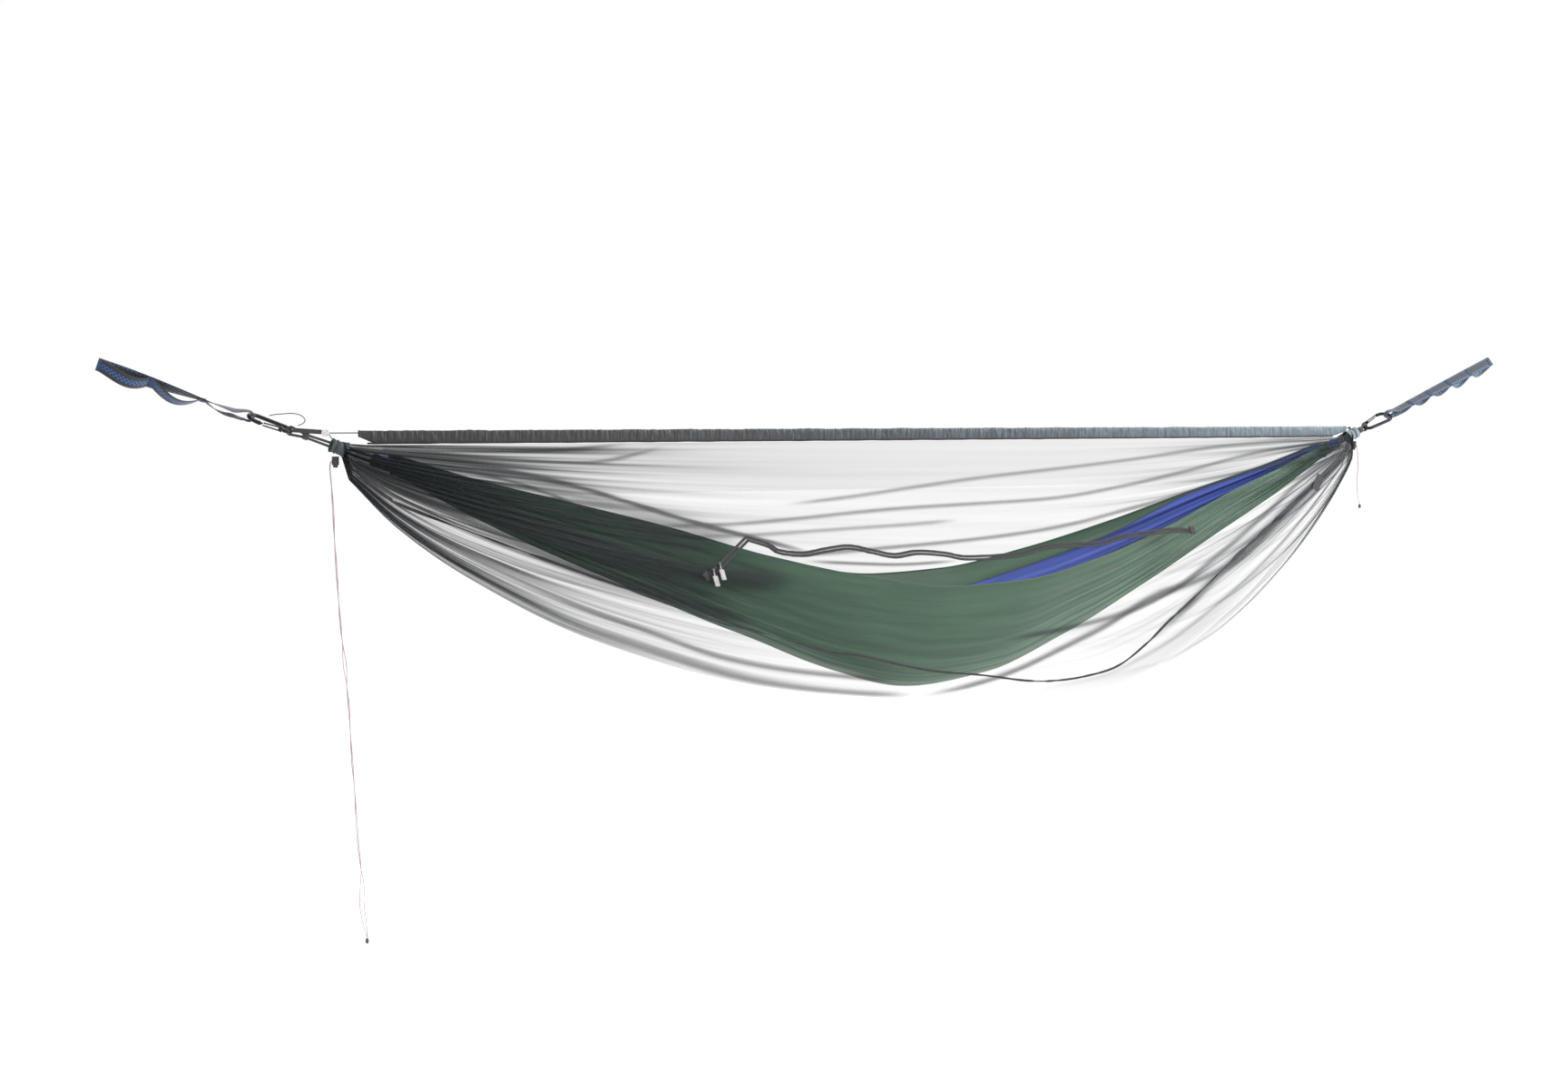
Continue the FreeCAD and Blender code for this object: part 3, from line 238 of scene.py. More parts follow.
def webbing(name, base, thread, pattern):
    """Flat woven strap: ribbed weave with zigzag stitching; pattern is edge or full."""
    mat, nodes, links, shader = material(name)
    tree = mat.node_tree
    u, v = uv_axes(tree)
    zig = math_node(tree, "PINGPONG", u, ZIG_HALF)
    cell = 2 * ZIG_HALF if pattern == "full" else 5 * ZIG_HALF
    local = math_node(tree, "PINGPONG", math_node(tree, "ADD", v, 0.05), cell / 2)
    apart = math_node(tree, "ABSOLUTE", math_node(tree, "SUBTRACT", local, zig))
    mark = math_node(tree, "LESS_THAN", apart, THREAD_HALF)
    from_middle = math_node(tree, "ABSOLUTE", v)
    if pattern == "edge":
        mark = math_node(tree, "MULTIPLY", mark, math_node(tree, "GREATER_THAN", from_middle, EDGE_FROM))
    inside = math_node(tree, "LESS_THAN", from_middle, EDGE_TO if pattern == "edge" else BAND_HALF)
    mark = math_node(tree, "MULTIPLY", mark, inside)
    rib = math_node(tree, "MULTIPLY", waves(tree, u, 900), waves(tree, v, 1100))
    tone = put(nodes, "ShaderNodeMix", data_type="RGBA")
    tone.inputs["A"].default_value = (*base, 1)
    tone.inputs["B"].default_value = (base[0] * 2.2, base[1] * 2.2, base[2] * 2.2, 1)
    links.new(rib, tone.inputs["Factor"])
    mix = put(nodes, "ShaderNodeMix", data_type="RGBA")
    links.new(mark, mix.inputs["Factor"])
    links.new(tone.outputs["Result"], mix.inputs["A"])
    mix.inputs["B"].default_value = (*thread, 1)
    links.new(mix.outputs["Result"], shader.inputs["Base Color"])
    shader.inputs["Roughness"].default_value = 0.7
    shader.inputs["Sheen Weight"].default_value = 0.25
    bump(tree, math_node(tree, "ADD", rib, math_node(tree, "MULTIPLY", mark, 1.5)), 0.5, 0.0004, shader)
    return mat


def plain(name, dark, light, scale, roughness, metallic=0.0, height=0.0003, coat=0.0):
    """Moulded, painted or metal surface with a fine grain and small wear variation."""
    mat, nodes, links, shader = material(name)
    tree = mat.node_tree
    where = object_coords(tree)
    grain = put(nodes, "ShaderNodeTexNoise", Scale=scale, Detail=4.0, Roughness=0.6)
    links.new(where, grain.inputs["Vector"])
    patch = put(nodes, "ShaderNodeTexNoise", Scale=scale / 14, Detail=2.0)
    links.new(where, patch.inputs["Vector"])
    blend = math_node(tree, "ADD", math_node(tree, "MULTIPLY", grain.outputs["Fac"], 0.45),
                      math_node(tree, "MULTIPLY", patch.outputs["Fac"], 0.55))
    links.new(ramp(tree, blend, [(0.35, dark), (0.68, light)]), shader.inputs["Base Color"])
    rough = put(nodes, "ShaderNodeMapRange", **{"To Min": roughness - 0.08, "To Max": roughness + 0.08})
    links.new(patch.outputs["Fac"], rough.inputs["Value"])
    links.new(rough.outputs["Result"], shader.inputs["Roughness"])
    shader.inputs["Metallic"].default_value = metallic
    shader.inputs["Coat Weight"].default_value = coat
    bump(tree, grain.outputs["Fac"], 0.4, height, shader)
    return mat


def braid(name, dark, light, per_metre):
    """Braided cord: crossing diagonal strands laid out by object coordinates."""
    mat, nodes, links, shader = material(name)
    tree = mat.node_tree
    where = object_coords(tree)
    strands = put(nodes, "ShaderNodeTexWave", Scale=per_metre, Distortion=2.0, Detail=1.0)
    strands.bands_direction = "DIAGONAL"
    links.new(where, strands.inputs["Vector"])
    patch = put(nodes, "ShaderNodeTexNoise", Scale=28.0, Detail=3.0)
    links.new(where, patch.inputs["Vector"])
    both = math_node(tree, "ADD", math_node(tree, "MULTIPLY", strands.outputs["Fac"], 0.5),
                     math_node(tree, "MULTIPLY", patch.outputs["Fac"], 0.5))
    links.new(ramp(tree, both, [(0.3, dark), (0.7, light)]), shader.inputs["Base Color"])
    shader.inputs["Roughness"].default_value = 0.75
    shader.inputs["Sheen Weight"].default_value = 0.2
    bump(tree, strands.outputs["Fac"], 0.6, 0.0004, shader)
    return mat


def ruffled(name, left, right, ends):
    """Thin coated nylon of the ridge sleeve, with painted light: paler and bluer towards the lit end, and
    painted shade and highlight streaks across its puckers.
    """
    mat, nodes, links, shader = material(name)
    tree = mat.node_tree
    where = object_coords(tree)
    split = tree.nodes.new("ShaderNodeSeparateXYZ")
    links.new(where, split.inputs[0])
    # painted light: the colour runs from the shaded end to the lit end along X
    along = put(nodes, "ShaderNodeMapRange", **{"From Min": ends[0], "From Max": ends[1]})
    links.new(split.outputs[0], along.inputs["Value"])
    squeeze = put(nodes, "ShaderNodeMapping", Scale=(1.0, 0.25, 0.12))
    links.new(where, squeeze.inputs["Vector"])
    patch = put(nodes, "ShaderNodeTexNoise", Scale=150.0, Detail=3.0)
    links.new(squeeze.outputs[0], patch.inputs["Vector"])
    # painted shade and highlight: vertical streaks across the puckers
    painted_pucker_shade = math_node(tree, "SUBTRACT", patch.outputs["Fac"], 0.5)
    drift = math_node(tree, "ADD", along.outputs["Result"], math_node(tree, "MULTIPLY", painted_pucker_shade, 1.1))
    middle = tuple((a * 1.6 + b * 0.4) / 2 for a, b in zip(left, right))
    links.new(ramp(tree, drift, [(0.0, left), (0.45, middle), (1.0, right)]), shader.inputs["Base Color"])
    shader.inputs["Roughness"].default_value = 0.5
    shader.inputs["Sheen Weight"].default_value = 0.3
    bump(tree, patch.outputs["Fac"], 0.9, 0.003, shader)
    return mat


# ---------------- mesh helpers
def piece(name, data, mat, body):
    obj = bpy.data.objects.new(name, data)
    bpy.context.collection.objects.link(obj)
    data.materials.append(mat)
    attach(obj, body)
    return obj


def smooth(data):
    data.polygons.foreach_set("use_smooth", [True] * len(data.polygons))


def mesh_data(name, points, faces, uvs=None, paint=None):
    """A mesh from points, faces, one uv per point and an optional density and painted light tone per point.
    """
    data = bpy.data.meshes.new(name)
    data.from_pydata([tuple(p) for p in points], [], faces)
    if uvs is not None:
        layer = data.uv_layers.new(name="UVMap")
        for loop in data.loops:
            layer.data[loop.index].uv = uvs[loop.vertex_index]
    if paint is not None:
        colours = data.color_attributes.new("mesh_layers_and_painted_light", "FLOAT_COLOR", "POINT")
        for k, (density, tone) in enumerate(paint):
            colours.data[k].color = (density, tone, 0, 1)
    smooth(data)
    data.validate()
    return data


def grid_faces(rows, columns, closed=False):
    faces = []
    last = columns if closed else columns - 1
    for i in range(rows - 1):
        for j in range(last):
            k = (j + 1) % columns
            faces.append((i * columns + j, i * columns + k, (i + 1) * columns + k, (i + 1) * columns + j))
    return faces


def tube_data(name, path, radius, sides=10):
    """A round tube along points, with flat caps; radius is a number or a function of the share."""
    points, faces = [], []
    frame_up = V((0, 0, 1))
    count = len(path)
    for i, p in enumerate(path):
        ahead = (path[min(i + 1, count - 1)] - path[max(i - 1, 0)]).normalized()
        side = ahead.cross(frame_up)
        if side.length < 1e-3:
            side = ahead.cross(V((0, 1, 0)))
        side.normalize()
        frame_up = side.cross(ahead).normalized()
        r = radius(i / (count - 1)) if callable(radius) else radius
        for k in range(sides):
            turn = 2 * math.pi * k / sides
            points.append(p + side * (r * math.cos(turn)) + frame_up * (r * math.sin(turn)))
    faces = grid_faces(count, sides, closed=True)
    faces.append(tuple(range(sides))[::-1])
    faces.append(tuple((count - 1) * sides + k for k in range(sides)))
    return mesh_data(name, points, faces)


def spline(points, count):
    """Points along a smooth curve through the given ones (Catmull-Rom)."""
    out = []
    spans = len(points) - 1
    for k in range(count):
        t = k / (count - 1) * spans
        i = min(int(t), spans - 1)
        t -= i
        a, b, c, d = (points[max(i - 1, 0)], points[i], points[i + 1], points[min(i + 2, spans)])
        out.append(0.5 * ((2 * b) + (c - a) * t + (2 * a - 5 * b + 4 * c - d) * t * t
                          + (3 * b - 3 * c + d - a) * t ** 3))
    return out


def table_at(table, reach):
    """Smooth interpolation of a table of tuples by its first column, kept between neighbours."""
    reach = max(table[0][0], min(table[-1][0], reach))
    i = 0
    while i < len(table) - 2 and table[i + 1][0] < reach:
        i += 1
    x0, x1 = table[i][0], table[i + 1][0]
    t = (reach - x0) / (x1 - x0)
    out = []
    for c in range(1, len(table[0])):
        y0, y1 = table[i][c], table[i + 1][c]
        chord = (y1 - y0) / (x1 - x0)

        def slope(j):
            if j <= 0 or j >= len(table) - 1:
                return chord
            before = (table[j][c] - table[j - 1][c]) / (table[j][0] - table[j - 1][0])
            after = (table[j + 1][c] - table[j][c]) / (table[j + 1][0] - table[j][0])
            return 0.0 if before * after <= 0 else 2 * before * after / (before + after)

        m0, m1 = slope(i) * (x1 - x0), slope(i + 1) * (x1 - x0)
        out.append((2 * t ** 3 - 3 * t ** 2 + 1) * y0 + (t ** 3 - 2 * t ** 2 + t) * m0
                   + (-2 * t ** 3 + 3 * t ** 2) * y1 + (t ** 3 - t ** 2) * m1)
    return out


def soft(x, low, high):
    t = max(0.0, min(1.0, (x - low) / (high - low)))
    return t * t * (3 - 2 * t)


def wavy(x, y, seed):
    return noise.noise(V((x, y, seed)))


# ---------------- cords
def cord_curve(name, points, mat, radius, body="hammock"):
    data = bpy.data.curves.new(name, "CURVE")
    data.dimensions = "3D"
    line = data.splines.new("NURBS")
    line.points.add(len(points) - 1)
    for k, p in enumerate(points):
        line.points[k].co = (*p, 1)
    line.order_u = 3
    line.use_endpoint_u = True
    line.resolution_u = 8
    data.bevel_depth, data.bevel_resolution, data.use_fill_caps = radius, 3, True
    return piece(name, data, mat, body)


def lock_hole(side):
    """The middle of a cord lock's cross hole."""
    low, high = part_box(side + "_lock_barrel")
    return V(((low[0] + high[0]) / 2, (low[1] + high[1]) / 2, high[2] - 0.0086))


LEFT_TAIL_A = [(-7.4, 1.7, 0), (-10.4, 1.8, -5), (-11.4, 1.7, -17), (-9, 1.7, -42), (-4.3, 0, -94),
               (-4.5, -1.7, -152), (-3.2, 0, -210), (1.5, 1.7, -268), (6.7, -0.2, -327), (8.4, -2.4, -380),
               (8.6, -1.7, -412), (14.8, -1.7, -446), (21.7, 0, -498), (22, 1.7, -556), (23.3, 0, -614),
               (29, -1.7, -672), (33.4, 0, -730), (36, 1.8, -782), (40.5, 0.4, -826), (36, -2.4, -868),
               (34.5, -2.2, -906), (41, -1.9, -940), (49.5, -1.7, -972)]
LEFT_TAIL_B = [(-7.4, -1.7, 0), (-10.4, -1.8, -5), (-11.4, -1.7, -17), (-9, -1.7, -42), (-7.7, 0, -94),
               (-4.5, 1.7, -152), (0.2, 0, -210), (1.5, -1.7, -268), (3.3, 0.2, -327), (11.4, 2.4, -380),
               (17.4, 1.9, -410), (16, 1.8, -446), (18.3, 0, -498), (22, -1.7, -556), (26.7, 0, -614),
               (29, 1.7, -672), (30, 0, -730), (32.5, -1.8, -782), (39, 3.2, -826), (46.5, 2.6, -862),
               (44, 2.3, -900), (49.5, 2.0, -938), (51, 1.7, -972)]
RIGHT_TAIL = [(7.6, 0, 0), (11, 0.2, -3.5), (14, 0.5, -12), (17, 0.8, -34), (17.5, 0.2, -60),
              (14, -0.6, -88), (14.5, -0.8, -116), (18, -0.4, -138), (24, 0, -154)]
TAIL_R = 0.001


def knot(name, node, turns, mat):
    """A small overhand knot: a wrapped coil in the CAD knot's box."""
    low, high = V(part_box(node)[0]), V(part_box(node)[1])
    middle, half = (low + high) / 2, (high - low) / 2
    path = []
    count = 110
    for k in range(count):
        t = k / (count - 1)
        turn = 2 * math.pi * turns * t
        swell = 0.62 + 0.38 * math.sin(math.pi * t)
        wide = 0.60 * swell
        path.append(middle + V((half.x * wide * math.cos(turn), half.y * wide * math.sin(turn),
                                half.z * (1.0 - 2.0 * t) * 0.72 + 0.0008 * math.sin(3 * turn))))
    obj = piece(name, tube_data(name, path, min(half) * 0.36, 8), mat, "hammock")
    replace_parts(obj, node)
    return obj


def tails():
    lilac = braid("tail_braid", (0.26, 0.17, 0.22), (0.62, 0.48, 0.55), 900.0)
    dark = braid("tail_knot_braid", (0.03, 0.02, 0.03), (0.12, 0.09, 0.11), 900.0)
    left = lock_hole("left")
    right = lock_hole("right")
    plan = [("left_tail_cord_a", "left_tail_a", LEFT_TAIL_A, left, 1.005, lilac),
            ("left_tail_cord_b", "left_tail_b", LEFT_TAIL_B, left, 1.010, lilac),
            ("right_tail_cord", "right_tail", RIGHT_TAIL, right, 0.165, lilac)]
    left_knot = knot("left_tail_end_knot", "left_tail_knot", 3.2, dark)
    right_knot = knot("right_tail_end_knot", "right_tail_knot", 2.6, dark)
    ends = [left_knot, left_knot, right_knot]
    for (name, node, points, base, length, mat), end in zip(plan, ends):
        route = [base + V(p) * MM for p in points]
        cord = cord_curve(name, route, mat, TAIL_R)
        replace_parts(cord, node)


# ---------------- tree straps
WEB_WIDE, WEB_THICK, BIGHT_WIDE = 0.025, 0.0016, 0.013
BIGHT_R = 0.009 + WEB_THICK / 2
BIGHT_LONG, TACK_LONG = 0.034, 0.009
LAYER_GAP = 0.00025
SAG_SHARE = 0.45        # how far a slack loop hangs down, of its depth
LEFT_CONTACT, RIGHT_CONTACT = place(-1495, 0, -30), place(1425, 0, -30)
LEFT_ANCHOR, RIGHT_ANCHOR = place(-1774, 0, -128), place(1780, 0, -173)


def ribbon_data(name, stations):
    """A woven band with rounded edges; stations are (middle, across, normal, width)."""
    outline = [(-1, 0), (-0.94, 0.8), (-0.5, 1), (0, 1), (0.5, 1), (0.94, 0.8), (1, 0),
               (0.94, -0.8), (0.5, -1), (0, -1), (-0.5, -1), (-0.94, -0.8)]
    points, uvs, length = [], [], 0.0
    for k, (middle, across, normal, wide) in enumerate(stations):
        if k:
            length += (middle - stations[k - 1][0]).length
        for a, n in outline:
            points.append(middle + across * (a * wide / 2) + normal * (n * WEB_THICK / 2))
            uvs.append((length, a * WEB_WIDE / 2))
    sides = len(outline)
    faces = grid_faces(len(stations), sides, closed=True)
    faces.append(tuple(range(sides))[::-1])
    faces.append(tuple((len(stations) - 1) * sides + k for k in range(sides)))
    return mesh_data(name, points, faces, uvs)


def strap(side, anchor, contact, roll_near, roll_far, loop_ends, slack, web, loop_web):
    """A straight main layer, the slack daisy-chain loops beside it and the bight in the carabiner."""
    length = (contact - anchor).length
    along = (contact - anchor).normalized()
    level = V((0, 1, 0))
    rise = level.cross(along).normalized()
    flat_end = 1 - BIGHT_LONG / length
    tack = 0.7 * TACK_LONG / length
    spread = WEB_THICK + LAYER_GAP

    def axes(share):
        roll = math.radians(roll_near + (roll_far - roll_near) * min(share / flat_end, 1.0))
        across = level * math.cos(roll) + rise * math.sin(roll)
        return across, along.cross(across)

    def layer(sign):
        out = []
        steps = 220
        for k in range(steps + 1):
            share = k / steps
            across, normal = axes(share)
            middle = anchor + (contact - anchor) * share
            narrowing = soft(share, flat_end, 1.0)
            off = normal * (sign * (spread / 2 + (BIGHT_R - spread / 2) * narrowing))
            if sign > 0:
                for low, high, depth in zip(loop_ends, loop_ends[1:], slack):
                    low, high = low + tack, high - tack
                    if low < share < high:
                        swell = math.sin(math.pi * (share - low) / (high - low)) ** 0.85
                        sag = rise if rise.z < 0 else -rise
                        off += (normal + sag * SAG_SHARE) * (depth * MM * swell)
            out.append((middle + off, across, normal, WEB_WIDE + (BIGHT_WIDE - WEB_WIDE) * narrowing))
        across, normal = axes(1.0)
        for k in range(1, 13):
            turn = math.pi / 2 * k / 12
            facing = normal * (sign * math.cos(turn)) + along * math.sin(turn)
            out.append((contact + facing * BIGHT_R, across, facing * sign, BIGHT_WIDE))
        return out

    for end, sign, mat, slot, node in (("_strap_webbing", -1, web, "strap_webbing", "_tree_strap"),
                                       ("_daisy_loops", 1, loop_web, "loop_webbing", "_strap_loops")):
        obj = piece(side + end, ribbon_data(side + end, layer(sign)), mat, "straps")
        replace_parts(obj, side + node)


def straps():
    black = webbing("webbing_black", (0.010, 0.011, 0.013), (0.03, 0.12, 0.34), "edge")
    blue = webbing("webbing_blue", (0.006, 0.008, 0.012), (0.02, 0.10, 0.36), "full")
    pale = webbing("webbing_pale", (0.030, 0.045, 0.065), (0.16, 0.36, 0.60), "full")
    strap("left", LEFT_ANCHOR, LEFT_CONTACT, -86, -200, [0.0, 0.35, 0.69, 1.0], [16, 14, 7], black, blue)
    strap("right", RIGHT_ANCHOR, RIGHT_CONTACT, 64, 20, [0.0, 0.22, 0.42, 0.61, 0.79, 1.0],
          [16, 15, 9, 8, 5], black, pale)
    thread = plain("tack_thread", (0.006, 0.012, 0.03), (0.015, 0.05, 0.13), 900.0, 0.7)
    for side in ("left", "right"):
        paint_node(side + "_bar_tacks", thread)


def paint_node(name, mat):
    """A carried-over CAD node gets its finished material."""
    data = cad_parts[name].data
    data.materials.clear()
    data.materials.append(mat)


# ---------------- hammock cloth
# reach from the middle, drop of the bottom, drop of the edges, share of the full half width
CLOTH = [
    (-1207, 86, 50, 0.075), (-1050, 170, 100, 0.19), (-878, 255, 145, 0.38), (-660, 352, 203, 0.63),
    (-446, 450, 268, 0.84), (-200, 548, 322, 0.97), (0, 591, 348, 1.0), (190, 572, 340, 0.98),
    (400, 492, 300, 0.88), (630, 384, 234, 0.64), (850, 268, 160, 0.405), (1050, 164, 98, 0.22),
    (1205, 76, 42, 0.075),
]
EDGE_HALF = 188         # half the width between the edges at the middle, in mm
CLOTH_RIM = 1.9         # power of the hollow's profile
CLOTH_PLEATS = 15
CLOTH_ROWS = 330
LEFT_HEM, RIGHT_HEM = place(-1240, 0, 62), place(1240, 0, 47)
CUFF_LONG, CUFF_WIDE, CUFF_TALL = 0.042, 0.0155, 0.0126
BLUE_FROM, BLUE_TO, BLUE_LAST = 0.55, 0.94, 0.992       # the blue panel's share of the width
CLOTH_ENDS = (-1216, 1216)


def cloth_at(reach, share):
    """The pleated cloth; share runs from the near edge to the far edge."""
    low, edge, wide = table_at(CLOTH, reach)
    side = 2 * share - 1
    y = side * EDGE_HALF * wide
    drop = low - (low - edge) * abs(side) ** CLOTH_RIM
    gathered = soft(abs(reach), 150, 1150)
    phase = CLOTH_PLEATS * share * 2 * math.pi + 2.6 * wavy(reach / 700, share * 3, 4.0)
    room = (6.5 * gathered * (1 - 0.45 * soft(abs(reach), 1040, 1205)) + 1.1)
    fold = math.sin(phase) + 0.45 * math.sin(2.3 * phase + 1.3 + reach / 420)
    slow = 7.0 * wavy(reach / 260, share * 5, 9.0) * (1 - gathered)
    away = V((0, side * 2 * (low - edge) * CLOTH_RIM / 2 / max(EDGE_HALF * wide, 1), 1.0)).normalized()
    lift = room * fold * 0.55 + slow
    rim = 1 - 0.75 * abs(side) ** 8
    return place(reach, y - away.y * lift * rim, drop - away.z * lift * rim)


def blue_end(reach):
    """The far seam's share of the width; the far strip runs out towards the gathers."""
    return BLUE_TO + (BLUE_LAST - BLUE_TO) * soft(abs(reach), 560, 900)


def cloth_panel(name, low, high, columns, mat, node):
    points, uvs = [], []
    for i in range(CLOTH_ROWS):
        reach = CLOTH_ENDS[0] + (CLOTH_ENDS[1] - CLOTH_ENDS[0]) * i / (CLOTH_ROWS - 1)
        first = blue_end(reach) if low == BLUE_TO else low
        last = blue_end(reach) if high == BLUE_TO else high
        for j in range(columns):
            share = first + (last - first) * j / (columns - 1)
            points.append(cloth_at(reach, share))
            uvs.append((reach * MM, share))
    obj = piece(name, mesh_data(name, points, grid_faces(CLOTH_ROWS, columns), uvs), mat, "hammock")
    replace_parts(obj, node)
    return obj


def hammock():
    # painted shade and highlight: each nylon gets a shaded, a lit and a mid colour for its crease streaks
    green = nylon("green_ripstop", (0.012, 0.044, 0.022), (0.052, 0.125, 0.068), (0.028, 0.080, 0.042))
    blue = nylon("blue_ripstop", (0.010, 0.026, 0.20), (0.040, 0.095, 0.50), (0.022, 0.055, 0.34))
    near = cloth_panel("cloth_near_green", 0.0, BLUE_FROM, 200, green, "hammock_near_panel")
    centre = cloth_panel("cloth_centre_blue", BLUE_FROM, BLUE_TO, 150, blue, "hammock_centre_panel")
    far = cloth_panel("cloth_far_green", BLUE_TO, 1.0, 30, green, "hammock_far_panel")
    return green, blue, near, centre, far


def finish_cloth(parts):
    green, blue, near, centre, far = parts
    thread = plain("seam_thread", (0.012, 0.03, 0.02), (0.03, 0.07, 0.045), 700.0, 0.75)
    span = CLOTH_ENDS[1] - CLOTH_ENDS[0]
    for name, share in (("cloth_near_hem", 0.0), ("cloth_far_hem", 1.0), ("cloth_seam_near", BLUE_FROM),
                        ("cloth_seam_far", BLUE_TO)):
        reaches = [CLOTH_ENDS[0] + span * k / 240 for k in range(241)]
        route = [cloth_at(r, blue_end(r) if share == BLUE_TO else share) for r in reaches]
        radius, mat = (0.0016, green) if "hem" in name else (0.0009, thread)
        piece(name, tube_data(name, route, radius, 8), mat, "hammock")
    for side, contact, hem in (("left", LEFT_CONTACT, LEFT_HEM), ("right", RIGHT_CONTACT, RIGHT_HEM)):
        bunched_hem(side, contact, hem, green, blue)


def bunched_hem(side, contact, hem_at, green, blue):
    """The cloth's end channel, bunched into deep folds on the end rope."""
    along = (hem_at - contact).normalized()
    rise = V((0, 1, 0)).cross(along).normalized()
    if rise.z < 0:
        rise = -rise
    for name, mat, start, stop in (("cuff_green", green, 0.5, 1.0), ("cuff_blue", blue, 0.0, 0.5)):
        points, uvs = [], []
        rows, columns = 26, 121
        for i in range(rows):
            share = i / (rows - 1)
            centre = hem_at + along * (CUFF_LONG * (share - 0.35))
            swell = 0.80 + 0.16 * soft(share, 0, 0.15) - 0.10 * soft(share, 0.5, 1.0)
            for j in range(columns):
                around = start + (stop - start) * j / (columns - 1)
                turn = 2 * math.pi * around
                crease = 0.13 * math.sin(19 * turn + 2.0 * share) + 0.06 * math.sin(31 * turn + 1.0)
                tuck = swell * (1 + crease * (0.35 + 0.65 * abs(math.cos(math.pi * share))))
                points.append(centre + V((0, 1, 0)) * (CUFF_WIDE * tuck * math.cos(turn))
                              + rise * (CUFF_TALL * tuck * math.sin(turn)))
                uvs.append((share * 0.05, around * 0.4))
        faces = grid_faces(rows, columns)
        for i, reverse in ((0, True), (rows - 1, False)):
            base = len(points)
            ring = [points[i * columns + j] for j in range(columns)]
            inward = 0.004 if i == 0 else -0.004
            hub = hem_at + along * (CUFF_LONG * ((0.0 if i == 0 else 1.0) - 0.35)) + along * inward
            for depth in (0.66, 0.33, 0.0):
                for p in ring:
                    points.append(hub + (p - hub) * depth if depth else hub + (p - hub) * 0.02)
                    uvs.append((depth * 0.02, 0.1))
            rings = [i * columns] + [base + k * columns for k in range(3)]
            for a, b in zip(rings, rings[1:]):
                for j in range(columns - 1):
                    quad = (a + j, a + j + 1, b + j + 1, b + j)
                    faces.append(quad[::-1] if reverse else quad)
        label = "%s_%s" % (side, name)
        obj = piece(label, mesh_data(label, points, faces, uvs), mat, "hammock")
        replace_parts(obj, side + "_end_hem")


# ---------------- bug net
# reach from the middle, share of the full depth, share of the full half width
NET = [
    (-1295, 0.155, 0.092), (-1200, 0.305, 0.24), (-1043, 0.478, 0.44), (-785, 0.686, 0.72),
    (-425, 0.869, 0.93), (-130, 0.944, 0.99), (150, 0.985, 1.0), (360, 1.0, 0.98),
    (560, 0.970, 0.91), (732, 0.876, 0.80), (900, 0.72, 0.65), (1044, 0.549, 0.48),
    (1191, 0.323, 0.27), (1262, 0.190, 0.158), (1277, 0.162, 0.125),
]
NET_HALF, NET_DEPTH = 238, 647
WALL_SHARE = 0.56
SLEEVE_TALL, SLEEVE_REACH = 27, 1262
NET_TOP = SLEEVE_TALL + 1.4
ROUND_FROM, GATHER_REACH = 950, 1325
LEAST_HALF = 2.5
NET_ENDS = (-1312, 1294)
GATHER_R = 13.0

def rope_axis(reach):
    """The middle of an end rope at a reach."""
    contact, hem = (LEFT_CONTACT, LEFT_HEM) if reach < 0 else (RIGHT_CONTACT, RIGHT_HEM)
    share = (MID + reach * MM - contact.x) / (hem.x - contact.x)
    return contact + (hem - contact) * share


def net_base(reach, down, side):
    """The net's middle surface; down runs from 0 at the ridge to 1 at the bottom."""
    inner = max(NET[0][0], min(NET[-1][0], reach))
    deep, wide = table_at(NET, inner)
    over = max(0.0, (abs(inner) - SLEEVE_REACH) / 40.0)
    top, low = NET_TOP - over * (3.0 if inner < 0 else 27.0), deep * NET_DEPTH
    if down < WALL_SHARE:
        rounded = max(0.0, abs(inner) - ROUND_FROM) / (GATHER_REACH - ROUND_FROM)
        out = (down / WALL_SHARE) ** (1 - 0.68 * rounded)
    else:
        out = math.sqrt(max(0.0, 1 - ((down - WALL_SHARE) / (1 - WALL_SHARE)) ** 2))
    p = place(reach, side * (LEAST_HALF + (NET_HALF * wide - LEAST_HALF) * out), top + (low - top) * down)
    if reach != inner:
        end = NET_ENDS[0] if reach < 0 else NET_ENDS[1]
        pull = soft(abs(reach - inner), 0, abs(end - inner))
        turn = math.pi * down
        ring = rope_axis(reach) + V((0, side * math.sin(turn), math.cos(turn))) * (GATHER_R * MM)
        p = p.lerp(ring, pull)
    return p


def net_outward(reach, down, side):
    step = 0.01
    fall = net_base(reach, min(down + step, 1), side) - net_base(reach, max(down - step, 0), side)
    run = net_base(reach + 5, down, side) - net_base(reach - 5, down, side)
    normal = run.cross(fall)
    if normal.length < 1e-12:
        return V((0, 0, -1))
    normal.normalize()
    outward = V((0, side * math.sin(math.pi * down) + 1e-6, -1.0 if down > 0.9 else 0.0))
    return normal if normal.dot(outward) > 0 else -normal
